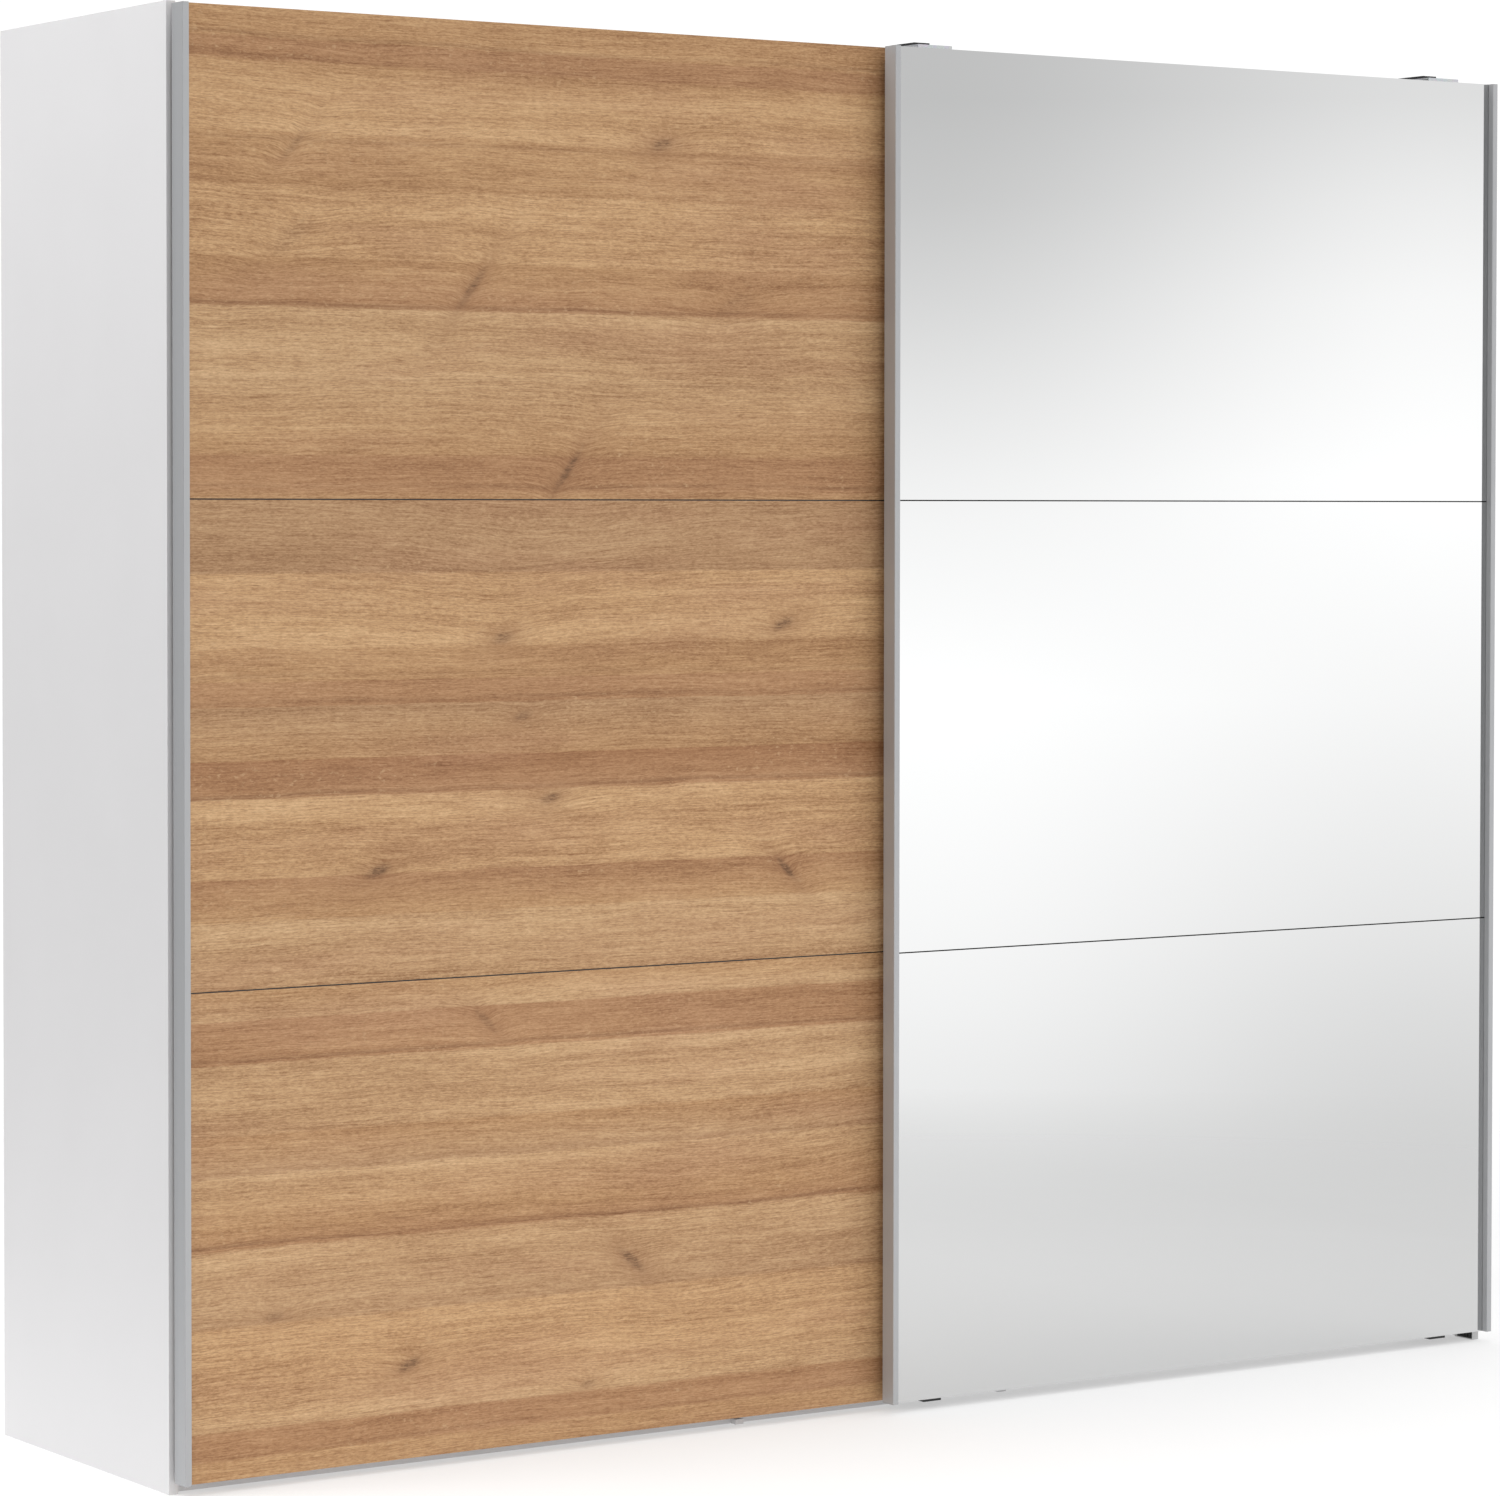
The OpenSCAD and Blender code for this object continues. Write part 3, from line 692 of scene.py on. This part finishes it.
class Workshop:
    """Shared steps for dressing CAD nodes and for making new pieces."""

    @staticmethod
    def dress(nodes: Iterable[str], material: bpy.types.Material, round_over: float = 0.0) -> None:
        """Gives CAD nodes a finish, and rounds their sharp edges a little.

        Args:
            nodes: the node names.
            material: the finish.
            round_over: the radius of the rounded edges in metres, or 0 for none.
        """
        for name in nodes:
            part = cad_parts[name]
            part.data.materials.clear()
            part.data.materials.append(material)
            if round_over:
                bevel = part.modifiers.new("round_over", "BEVEL")
                bevel.width = round_over
                bevel.segments = 2
                bevel.limit_method = "ANGLE"
                bevel.angle_limit = math.radians(40)
                bevel.harden_normals = True
            LOG.info("dressed %s with %s", name, material.name)

    @staticmethod
    def piece(
        name: str,
        verts: Sequence[Vector],
        faces: Sequence[Sequence[int]],
        material: bpy.types.Material,
        body: str,
        smooth_angle: float = 35.0,
    ) -> bpy.types.Object:
        """Makes a new piece that rides on a body.

        Args:
            name: the piece's name.
            verts: its points in metres.
            faces: its faces as lists of point numbers.
            material: its finish.
            body: the body that it rides on.
            smooth_angle: faces that meet more sharply than this stay crisp, in degrees.

        Returns:
            The new object.
        """
        mesh = bpy.data.meshes.new(name)
        mesh.from_pydata([tuple(v) for v in verts], [], [tuple(f) for f in faces])
        mesh.materials.append(material)
        work = bmesh.new()
        work.from_mesh(mesh)
        bmesh.ops.remove_doubles(work, verts=work.verts, dist=1e-7)
        bmesh.ops.recalc_face_normals(work, faces=work.faces)
        limit = math.radians(smooth_angle)
        for edge in work.edges:
            edge.smooth = len(edge.link_faces) == 2 and edge.calc_face_angle(0.0) < limit
        for face in work.faces:
            face.smooth = True
        work.to_mesh(mesh)
        work.free()
        part = bpy.data.objects.new(name, mesh)
        bpy.context.scene.collection.objects.link(part)
        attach(part, body)
        LOG.info("made %s: %d faces on %s", name, len(mesh.polygons), body)
        return part

    @staticmethod
    def islands(node: str) -> list[tuple[Vector, Vector, list[Vector]]]:
        """Finds the separate solids in a CAD node.

        Args:
            node: the node's name.

        Returns:
            For each solid its lowest corner, its highest corner and its points.
        """
        work = bmesh.new()
        work.from_mesh(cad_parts[node].data)
        bmesh.ops.remove_doubles(work, verts=work.verts, dist=1e-6)
        seen: set[int] = set()
        found = []
        for start in work.verts:
            if start.index in seen:
                continue
            stack, points = [start], []
            seen.add(start.index)
            while stack:
                vert = stack.pop()
                points.append(vert.co.copy())
                for edge in vert.link_edges:
                    other = edge.other_vert(vert)
                    if other.index not in seen:
                        seen.add(other.index)
                        stack.append(other)
            low = Vector(min(p[i] for p in points) for i in range(3))
            high = Vector(max(p[i] for p in points) for i in range(3))
            found.append((low, high, points))
        work.free()
        return found


@dataclass
class MeshParts:
    """Points and faces that are gathered before they become one piece."""

    verts: list[Vector] = field(default_factory=list)
    faces: list[list[int]] = field(default_factory=list)

    def add(self, verts: Sequence[Vector], faces: Sequence[Sequence[int]], place: Matrix) -> None:
        """Adds a copy of a shape at a place."""
        start = len(self.verts)
        self.verts.extend(place @ v for v in verts)
        self.faces.extend([start + i for i in face] for face in faces)


def lathe(profile: Sequence[tuple[float, float]], segments: int = 32) -> Shape:
    """Turns a profile round Z.

    Args:
        profile: pairs of radius and height. A radius of 0 closes the shape.
        segments: the number of steps round.

    Returns:
        The points and faces.
    """
    verts: list[Vector] = []
    faces: list[list[int]] = []
    rings: list[list[int]] = []
    for radius, height in profile:
        if radius < 1e-9:
            rings.append([len(verts)] * segments)
            verts.append(Vector((0.0, 0.0, height)))
            continue
        rings.append(list(range(len(verts), len(verts) + segments)))
        for step in range(segments):
            turn = math.tau * step / segments
            verts.append(Vector((radius * math.cos(turn), radius * math.sin(turn), height)))
    for lower, upper in zip(rings, rings[1:]):
        for step in range(segments):
            after = (step + 1) % segments
            loop = [lower[step], lower[after], upper[after], upper[step]]
            unique = [v for i, v in enumerate(loop) if v not in loop[:i]]
            if len(unique) > 2:
                faces.append(unique)
    return verts, faces


@dataclass(frozen=True)
class CrossScrew:
    """A pan head with a cross recess. Its head's underside is at z 0 and its shank points down.

    rim is the flat top's radius, and recess and recess_floor are the cross's reach and half width
    at its mouth and at its floor, all as shares of the head's radius. floor_share is how high
    the floor lies, as a share of the head's height.
    """

    head_r: float
    head_h: float
    shank_r: float
    length: float
    rim: float = 0.62
    recess: tuple[float, float] = (0.5, 0.13)
    recess_floor: tuple[float, float] = (0.3, 0.07)
    floor_share: float = 0.25
    segments: int = 24

    def shape(self) -> Shape:
        """Builds the head, its recess and the shank."""
        r, h = self.head_r, self.head_h
        rim = self.rim * r
        verts, faces = lathe(
            [
                (0.0, -self.length),
                (0.5 * self.shank_r, 0.6 * self.shank_r - self.length),
                (self.shank_r, 2.0 * self.shank_r - self.length),
                (self.shank_r, 0.0),
                (r, 0.0),
                (r, 0.25 * h),
                (0.94 * r, 0.62 * h),
                (0.8 * r, 0.88 * h),
                (rim, h),
            ],
            self.segments,
        )
        turns = [math.tau * step / self.segments for step in range(self.segments)]
        ring = [Vector((rim * math.cos(turn), rim * math.sin(turn), h)) for turn in turns]
        mouth = self._cross(self.recess, h)
        start = len(verts)
        verts += ring + mouth
        faces += [[start + i for i in tri] for tri in tessellate_polygon([ring, mouth])]
        base = start + len(ring)
        floor = len(verts)
        verts += self._cross(self.recess_floor, self.floor_share * h)
        count = len(mouth)
        for i in range(count):
            after = (i + 1) % count
            faces.append([base + i, base + after, floor + after, floor + i])
        faces.append([floor + i for i in range(count)])
        return verts, faces

    def _cross(self, shares: tuple[float, float], height: float) -> list[Vector]:
        """Gives the twelve corners of a cross, against the turn of the head's rim."""
        reach, half = (share * self.head_r for share in shares)
        corners = []
        for quarter in reversed(range(4)):
            turn = Matrix.Rotation(quarter * math.pi / 2, 3, "Z")
            for x, y in ((half, half), (reach, half), (reach, -half)):
                corners.append(turn @ Vector((x, y, 0.0)) + Vector((0.0, 0.0, height)))
        return corners


# --- The wardrobe ---

WHITE = linear(231, 230, 231)
EDGE = linear(230, 229, 230)


class Finish(Enum):
    """Every finish on the wardrobe but the oak decors."""

    BOARD = Melamine("white_melamine", WHITE, EDGE, 1)
    PLAIN_BOARD = Melamine("white_plinth", WHITE, WHITE, 2)
    BACK = Melamine("white_hardboard", scaled(WHITE, 0.97), WHITE, 2, 0.55)
    STRIP = Melamine("grey_edging", linear(214, 214, 214), linear(200, 200, 200), 1)
    GRIP = DrawnMetal("grip_aluminium", linear(186, 187, 189), 0.35, 0.5)
    TRACK = DrawnMetal("track_aluminium", linear(205, 207, 210), 0.9, 0.32, Axis.X)
    PLATED = DrawnMetal("plated_sheet", linear(200, 201, 204), 0.8, 0.36, Axis.Z, 0.05, 0.12)
    ZINC = DrawnMetal("zinc_fittings", linear(198, 202, 208), 0.95, 0.28, Axis.Y, 0.08)
    CHROME = DrawnMetal("chromed_tube", linear(225, 226, 228), 1.0, 0.12, Axis.X, 0.02)
    BLACK = Moulded("black_plastic", (0.012, 0.012, 0.013))
    GREY = Moulded("grey_plastic", (0.11, 0.11, 0.115))
    WHITE_PLASTIC = Moulded("white_plastic", linear(232, 232, 231), 0.4)
    NYLON = Moulded("wheel_nylon", (0.02, 0.02, 0.021), 0.3, 900.0)
    JOINT = DrawnMetal("joint_black", linear(58, 56, 56), 0.4, 0.4, Axis.X)
    PANE_JOINT = Moulded("pane_joint_black", (0.002, 0.002, 0.002), 0.6, gloss=0.1)
    MIRROR = MirrorGlass("mirror_silver", (0.66, 0.663, 0.663))
    PILE = Pile("seal_pile", (0.012, 0.012, 0.012))

    @cached_property
    def material(self) -> bpy.types.Material:
        """The finish's material, built when it is first asked for."""
        return self.value.material()


@dataclass
class Carcass:
    """The white boards, their shelves and the backs."""

    round_over: float = 0.6 * MM

    def build(self) -> None:
        """Dresses each board by the way its banded edge looks."""
        bays = ("left", "middle", "right")
        uprights = ["left_side_panel", "right_side_panel", "left_partition", "right_partition"]
        flats = [f"{bay}_{kind}_panel" for bay in bays for kind in ("top", "bottom")]
        levels = ("left_hat", "right_hat", "lower", "centre", "upper")
        shelves = [f"{level}_shelf" for level in levels]
        plinths = [f"{bay}_plinth" for bay in bays]
        Workshop.dress(uprights + flats + shelves, Finish.BOARD.material, self.round_over)
        Workshop.dress(plinths, Finish.PLAIN_BOARD.material, self.round_over)
        Workshop.dress([f"{bay}_back_panel" for bay in bays], Finish.BACK.material)
        Workshop.dress(["back_joint_strips"], Finish.WHITE_PLASTIC.material, FINE)
        Workshop.dress(["side_strip"], Finish.STRIP.material, self.round_over)


@dataclass
class Fittings:
    """Clothes rails, pins, locks, screws and brackets."""

    head_r: float = 3.5 * MM
    head_h: float = 1.2 * MM
    shank_r: float = 1.5 * MM

    def build(self) -> None:
        """Dresses the fittings and models the screws."""
        Workshop.dress(["left_clothes_rail", "right_clothes_rail"], Finish.CHROME.material)
        Workshop.dress(["rail_sockets", "shelf_pins"], Finish.ZINC.material, FINE)
        Workshop.dress(["cam_locks"], Finish.ZINC.material)
        Workshop.dress(["wall_brackets"], Finish.PLATED.material, 0.4 * MM)
        self._screws()

    def _screws(self) -> None:
        """Replaces the plain screws with ones that have a cross recess."""
        parts = MeshParts()
        turns = random.Random(7)
        for low, high, points in Workshop.islands("carcass_screws"):
            size = high - low
            axis = max(range(3), key=lambda i: size[i])
            up = self._head_side(low, high, points, axis)
            seat = (low + high) / 2
            seat[axis] = (high[axis] if up > 0 else low[axis]) - up * self.head_h
            way = Vector((0, 0, 0))
            way[axis] = up
            screw = CrossScrew(self.head_r, self.head_h, self.shank_r, size[axis] - self.head_h)
            turn = Matrix.Rotation(turns.uniform(0, math.pi / 2), 4, "Z")
            aim = way.to_track_quat("Z", "Y").to_matrix().to_4x4()
            parts.add(*screw.shape(), Matrix.Translation(seat) @ aim @ turn)
        zinc = Finish.ZINC.material
        screws = Workshop.piece("cross_head_screws", parts.verts, parts.faces, zinc, "carcass")
        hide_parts("carcass_screws")

    @staticmethod
    def _head_side(low: Vector, high: Vector, points: Sequence[Vector], axis: int) -> int:
        """Finds which end of a plain screw has its head.

        Args:
            low: the screw's lowest corner.
            high: its highest corner.
            points: its points.
            axis: the number of the axis that it lies along.

        Returns:
            1 for the high end, or -1 for the low end.
        """
        middle = (low + high) / 2
        reach = []
        for end in (low[axis], high[axis]):
            near = [p - middle for p in points if abs(p[axis] - end) < 1.4 * MM]
            reach.append(max(p.dot(p) - p[axis] ** 2 for p in near))
        return 1 if reach[1] > reach[0] else -1


@dataclass
class TrackGear:
    """The running track, the guide rail, the stops and the side strip's seal."""

    backing: float = 1.0 * MM
    tuft_pitch: float = 2.2 * MM
    tuft_half_y: float = 1.9 * MM
    tuft_half_z: float = 0.55 * MM
    tuft_reach: tuple[float, float] = (0.8, 0.99)
    rows: tuple[float, ...] = (0.14, 0.3, 0.5, 0.7, 0.86)

    def build(self) -> None:
        """Dresses the rails and grows the seal's pile."""
        Workshop.dress(["running_track"], Finish.TRACK.material, FINE)
        Workshop.dress(["guide_rail"], Finish.GREY.material, FINE)
        Workshop.dress(["track_end_stops"], Finish.BLACK.material, 0.8 * MM)
        self._seal()

    def _seal(self) -> None:
        """Replaces the plain seal with a backing strip and rows of tufts."""
        low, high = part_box("side_strip_seal")
        parts = MeshParts()
        cube = [Vector((x, y, z)) for x in (0, 1) for y in (0, 1) for z in (0, 1)]
        sides = [[0, 1, 3, 2], [4, 6, 7, 5], [0, 4, 5, 1], [2, 3, 7, 6], [0, 2, 6, 4], [1, 5, 7, 3]]
        back_x = high.x - self.backing
        size = (self.backing, high.y - low.y, high.z - low.z, 1.0)
        parts.add(cube, sides, Matrix.Translation((back_x, low.y, low.z)) @ Matrix.Diagonal(size))
        rng = random.Random(3)
        count = int((high.z - low.z) / self.tuft_pitch) - 1
        for row in self.rows:
            for step in range(count):
                y = low.y + row * (high.y - low.y)
                z = low.z + (step + 0.8 + 0.3 * row) * self.tuft_pitch
                reach = (back_x - low.x) * rng.uniform(*self.tuft_reach)
                lean = rng.uniform(-0.3, 0.3) * MM
                parts.add(*self._tuft((back_x, y, z), reach, lean), Matrix.Identity(4))
        pile = Finish.PILE.material
        seal = Workshop.piece("brush_seal", parts.verts, parts.faces, pile, "carcass", 20.0)
        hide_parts("side_strip_seal")

    def _tuft(self, root: tuple[float, float, float], reach: float, lean: float) -> Shape:
        """Shapes one tuft, which fans out along Y and thins along Z.

        Args:
            root: the middle of its root.
            reach: how far it stands out.
            lean: how far its tip droops or lifts.

        Returns:
            The points and faces.
        """
        x, y, z = root
        wide, thick = self.tuft_half_y, self.tuft_half_z
        corners = ((-wide, -thick), (wide, -thick), (wide, thick), (-wide, thick))
        base = [Vector((x, y + a, z + b)) for a, b in corners]
        tip = [Vector((x - reach, y + a * 1.1, z + b * 0.5 + lean)) for a, b in corners]
        return base + tip, [[0, 1, 5, 4], [1, 2, 6, 5], [2, 3, 7, 6], [3, 0, 4, 7], [4, 5, 6, 7]]


@dataclass
class DoorGear:
    """What both doors share: grips, joints, rails, carriages, guides and wheels."""

    side: str
    joint: Finish

    def build(self) -> None:
        """Dresses the door's metal and plastic."""
        door = f"{self.side}_door"
        Workshop.dress([f"{door}_outer_grip", f"{door}_inner_grip"], Finish.GRIP.material, FINE)
        Workshop.dress([f"{door}_joint_strips"], self.joint.material, 0.2 * MM)
        Workshop.dress([f"{door}_cross_rails"], Finish.PLATED.material, FINE)
        Workshop.dress([f"{door}_carriages"], Finish.PLATED.material, 0.6 * MM)
        Workshop.dress([f"{door}_guides"], Finish.BLACK.material, 0.5 * MM)
        Workshop.dress([f"{door}_left_wheel", f"{door}_right_wheel"], Finish.NYLON.material, FINE)
        Workshop.dress([f"{door}_fasteners"], Finish.ZINC.material, FINE)


OAK_PLANKS: dict[str, tuple[Plank, ...]] = {
    "top": (
        Plank(713, Tone.TAN, line=0.5),
        Plank(668, Tone.ROSE, line=0.25),
        Plank(636, Tone.TAN, Tone.GOLD),
        Plank(534, Tone.TAN, line=0.35),
        Plank(518, Tone.TAN, line=0.1),
        Plank(456, Tone.GOLD),
        Plank(352, Tone.TAN, Tone.ROSE, 0.85),
        Plank(280, Tone.SAND, line=0.3),
        Plank(170, Tone.SAND, Tone.TAN, 0.1),
        Plank(64, Tone.ROSE, line=0.6),
        Plank(14, Tone.ROSE, Tone.TAN),
    ),
    "middle": (
        Plank(713, Tone.GREY_TAN, line=0.15),
        Plank(604, Tone.GOLD),
        Plank(494, Tone.TAN, line=0.45),
        Plank(446, Tone.ROSE, line=0.6),
        Plank(410, Tone.GREY_TAN, Tone.TAN, 0.2),
        Plank(332, Tone.BROWN, Tone.ROSE, 0.75),
        Plank(276, Tone.GOLD, line=0.1),
        Plank(160, Tone.ROSE, Tone.TAN, 0.15),
        Plank(98, Tone.SAND),
    ),
    "bottom": (
        Plank(713, Tone.TAN, Tone.SAND),
        Plank(668, Tone.ROSE, line=0.75),
        Plank(604, Tone.SAND),
        Plank(500, Tone.TAN, Tone.GREY_TAN, 0.2),
        Plank(440, Tone.SAND, Tone.TAN),
        Plank(368, Tone.TAN, Tone.ROSE, 0.8),
        Plank(334, Tone.SAND, Tone.GREY_TAN, 0.1),
        Plank(222, Tone.GOLD),
        Plank(138, Tone.GOLD, Tone.SAND, 0.1),
        Plank(70, Tone.ROSE, line=0.4),
        Plank(30, Tone.TAN),
    ),
}

OAK_KNOTS: dict[str, tuple[Knot, ...]] = {
    "top": (
        Knot(-443, 515, 14, 0.9, 14, 0.6),
        Knot(193, 541, 13, 0.2),
        Knot(-145, 312, 16, 1.2),
        Knot(23, 42, 15, 1.2),
        Knot(330, 300, 26, 0.3, 16, 0.35),
        Knot(-450, 380, 30, 0.6, 14, 0.3),
    ),
    "middle": (
        Knot(-90, 505, 12, 0.2),
        Knot(417, 520, 13, 0.3),
        Knot(-6, 262, 12, 0.2),
        Knot(-305, 163, 13, 0.3),
        Knot(424, 138, 12, -0.9),
        Knot(-55, 388, 11, 0.2, 10, 0.7),
        Knot(-60, 620, 60, 0.2, 26, 0.0),
    ),
    "bottom": (
        Knot(-120, 645, 13, -0.8, 12, 0.7),
        Knot(140, 262, 15, -0.7),
        Knot(-252, 140, 13, 0.3),
        Knot(-478, 232, 11, 0.1, 10, 0.7),
        Knot(60, 80, 10, 0.2, 10, 0.6),
        Knot(300, 420, 70, -0.1, 22, 0.0),
    ),
}


class OakDoor:
    """The left door with its three printed oak panels."""

    def build(self) -> None:
        """Dresses the panels with the decor that runs across each one."""
        for number, row in enumerate(("top", "middle", "bottom")):
            node = f"left_door_{row}_panel"
            low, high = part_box(node)
            decor = OakDecor(
                name=f"oak_{row}",
                middle_x=(low.x + high.x) / 2,
                low=low.z,
                high=high.z,
                planks=OAK_PLANKS[row],
                knots=OAK_KNOTS[row],
                seed=2.0 + 5.0 * number,
            )
            Workshop.dress([node], decor.material(), FINE)
        DoorGear("left", Finish.JOINT).build()


@dataclass
class MirrorDoor:
    """The right door with its three mirror panes."""

    ground_edge: float = 1.0 * MM

    def build(self) -> None:
        """Dresses the panes, their backing and the caps on the carriages."""
        panes = [f"right_door_{row}_mirror" for row in ("top", "middle", "bottom")]
        Workshop.dress(panes, Finish.MIRROR.material, self.ground_edge)
        Workshop.dress(["right_door_backing_boards"], Finish.BACK.material)
        Workshop.dress(["right_door_carriage_caps"], Finish.BLACK.material, 0.8 * MM)
        DoorGear("right", Finish.PANE_JOINT).build()


# --- Studio and camera ---


@dataclass(frozen=True)
class Viewpoint:
    """The camera: its place in metres, its turns in degrees and its lens in millimetres."""

    place: tuple[float, float, float] = (-4.471799, -6.57903, 1.431854)
    yaw: float = 33.73181
    pitch: float = 1.55959
    roll: float = 0.06153
    lens: float = 117.527
    shift_y: float = -0.07147

    def build(self) -> None:
        """Makes the camera and puts it to use."""
        yaw, pitch, roll = (math.radians(v) for v in (self.yaw, self.pitch, self.roll))
        level = math.cos(pitch)
        ahead = Vector((math.sin(yaw) * level, math.cos(yaw) * level, -math.sin(pitch)))
        right = Vector((math.cos(yaw), -math.sin(yaw), 0.0))
        up = right.cross(ahead)
        side = right * math.cos(roll) + up * math.sin(roll)
        top = up * math.cos(roll) - right * math.sin(roll)
        turn = Matrix((side, top, -ahead)).transposed().to_4x4()
        data = bpy.data.cameras.new("viewpoint")
        data.sensor_fit = "HORIZONTAL"
        data.sensor_width = 36.0
        data.lens = self.lens
        data.shift_y = self.shift_y
        data.clip_end = 100.0
        camera = bpy.data.objects.new("viewpoint", data)
        camera.matrix_world = Matrix.Translation(self.place) @ turn
        bpy.context.scene.collection.objects.link(camera)
        bpy.context.scene.camera = camera


@dataclass
class Studio:
    """A pale floor that fades into a soft bright room, and three large soft lights.

    floor_tone and floor_glow: how much light the floor returns, and how much it adds.
    floor_solid and floor_end: the radii where it starts to fade and where it is gone.
    left_dim and right_dim: where its glow sinks at the sides: from x, to x, and to what share.
    behind, left_low, left_high and overhead: the room's glow on its other sides.
    near and far: the room's glow in front, as pairs of position and level, on the left and on
        the right of what the mirrors show. The eye's own height is at position 0.5.
    span: the slope that the positions from 0 to 1 take up.
    between: the headings in degrees between which near gives way to far.
    """

    floor_tone: float = 0.5
    floor_glow: float = 0.5
    floor_solid: float = 2.3
    floor_end: float = 4.6
    left_dim: tuple[float, float, float] = (-1.45, -2.0, 0.1)
    right_dim: tuple[float, float, float] = (1.0, 2.0, 0.84)
    behind: float = 1.06
    left_low: float = 0.15
    left_high: float = 0.52
    overhead: float = 0.5
    near: tuple[tuple[float, float], ...] = (
        (0.0, 0.92), (0.0525, 0.99), (0.094, 1.05), (0.1455, 1.16), (0.1965, 1.26), (0.248, 1.36),
        (0.299, 1.435), (0.402, 1.55), (0.4935, 1.38), (0.514, 1.33), (0.555, 1.2), (0.606, 1.03),
        (0.6565, 0.88), (0.7075, 0.79), (1.0, 0.8),
    )
    far: tuple[tuple[float, float], ...] = (
        (0.0, 0.84), (0.094, 0.876), (0.1455, 0.924), (0.1965, 1.007), (0.248, 1.095),
        (0.299, 1.21), (0.402, 1.397), (0.514, 1.55), (0.606, 1.42), (0.6565, 1.28),
        (0.7075, 1.106), (1.0, 0.9),
    )
    span: float = 0.4
    between: tuple[float, float] = (35.5, 42.1)

    def build(self) -> None:
        """Makes the floor, the room's glow and the lights."""
        self._floor()
        self._room()
        self._light("key", (-3.0, -6.0, 5.0), 5.0, 15.0)
        self._light("top", (0.0, -1.5, 6.5), 6.0, 60.0)
        self._light("side", (-4.4, 0.3, 4.4), 2.0, 105.0)
        scene = bpy.context.scene
        scene.view_settings.view_transform = "Standard"
        scene.view_settings.look = "None"

    def _floor(self) -> None:
        """Makes a round pale floor whose rim fades out."""
        g = Graph("studio_floor")
        dust = g.noise(g.place, 3.0, 3.0)
        tone = (self.floor_tone,) * 3
        x, y, _ = g.split(g.place)
        # The floor's glow is painted light: it lifts the shadow under the doors, and it sinks at
        # the sides, which darkens the side panel's foot and the floor that the mirror door shows on
        # the right.
        glow: object = self.floor_glow
        for start, end, share in (self.left_dim, self.right_dim):
            glow = g.math("MULTIPLY", glow, g.remap(x, start, end, 1.0, share))
        material = g.finish(
            base_color=g.mix(g.remap(dust, 0.3, 0.7), scaled(tone, 0.995), tone),
            roughness=0.7,
            specular_ior_level=0.0,
            emission_color=(1.0, 1.0, 1.0),
            emission_strength=glow,
            alpha=g.remap(g.distance(x, y), self.floor_solid, self.floor_end, 1.0, 0.0),
        )
        verts, faces = lathe([(0.0, 0.0), (1.0, 0.0), (self.floor_end, 0.0)], 96)
        mesh = bpy.data.meshes.new("studio_floor")
        mesh.from_pydata([tuple(v) for v in verts], [], faces)
        mesh.materials.append(material)
        floor = bpy.data.objects.new("studio_floor", mesh)
        floor.location.z = -0.2 * MM
        bpy.context.scene.collection.objects.link(floor)

    def _room(self) -> None:
        """Makes the room's glow: white behind and above, and a soft gradient in front.

        The soft borders between its sides are parts of the unit vector of a direction.
        """
        world = bpy.data.worlds.new("studio_room")
        bpy.context.scene.world = world
        world.use_nodes = True
        n = Nodes(world.node_tree)
        out = n.new("OutputWorld")
        glow = n.new("Background")
        n.feed(out.inputs["Surface"], glow.outputs[0])
        x, y, z = n.split(n.coords.outputs["Generated"])
        slope = n.math("DIVIDE", z, n.math("MAXIMUM", n.distance(x, y), 0.001))
        height = n.math("MULTIPLY_ADD", slope, 1 / self.span, 0.5)
        heading = n.math("ARCTAN2", x, n.math("MULTIPLY", y, -1.0))
        across = n.remap(heading, *(math.radians(v) for v in self.between), ease=True)
        near, far = (self._levels(n, height, stops) for stops in (self.near, self.far))
        front = n.blend(near, far, across)
        level = n.blend(front, self.behind, n.remap(y, -0.15, 0.15, ease=True))
        left = n.blend(self.left_low, self.left_high, n.remap(z, -0.35, 0.35, ease=True))
        side = n.blend(left, 1.0, n.remap(x, -0.7, 0.25, ease=True))
        level = n.math("MULTIPLY", level, side)
        above = n.math("MAXIMUM", n.math("SUBTRACT", z, 0.3), 0.0)
        n.feed(glow.inputs["Strength"], n.math("MULTIPLY_ADD", above, self.overhead, level))
        n.feed(glow.inputs["Color"], (1.0, 1.0, 1.0))

    @staticmethod
    def _levels(n: Nodes, value: Socket, stops: Sequence[tuple[float, float]]) -> Socket:
        """Adds a ramp of glow levels, which reach 2."""
        greys = [(position, (level / 2,) * 3) for position, level in stops]
        return n.math("MULTIPLY", n.ramp(value, greys), 2.0)

    @staticmethod
    def _light(name: str, place: tuple[float, float, float], size: float, power: float) -> None:
        """Makes a soft square light that looks at the wardrobe's middle."""
        data = bpy.data.lights.new(name, "AREA")
        data.shape = "SQUARE"
        data.size = size
        data.energy = power
        lamp = bpy.data.objects.new(name, data)
        lamp.location = place
        lamp.rotation_mode = "QUATERNION"
        lamp.rotation_quaternion = (Vector((0, 0, 1.0)) - Vector(place)).to_track_quat("-Z", "Y")
        lamp.visible_camera = False
        lamp.visible_glossy = False
        bpy.context.scene.collection.objects.link(lamp)


def main() -> None:
    """Builds the looks of the wardrobe in order."""
    logging.basicConfig(level=logging.INFO, format="%(name)s: %(message)s")
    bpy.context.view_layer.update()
    Viewpoint().build()
    Carcass().build()
    Fittings().build()
    TrackGear().build()
    OakDoor().build()
    MirrorDoor().build()
    Studio().build()


if __name__ == "__main__":
    main()
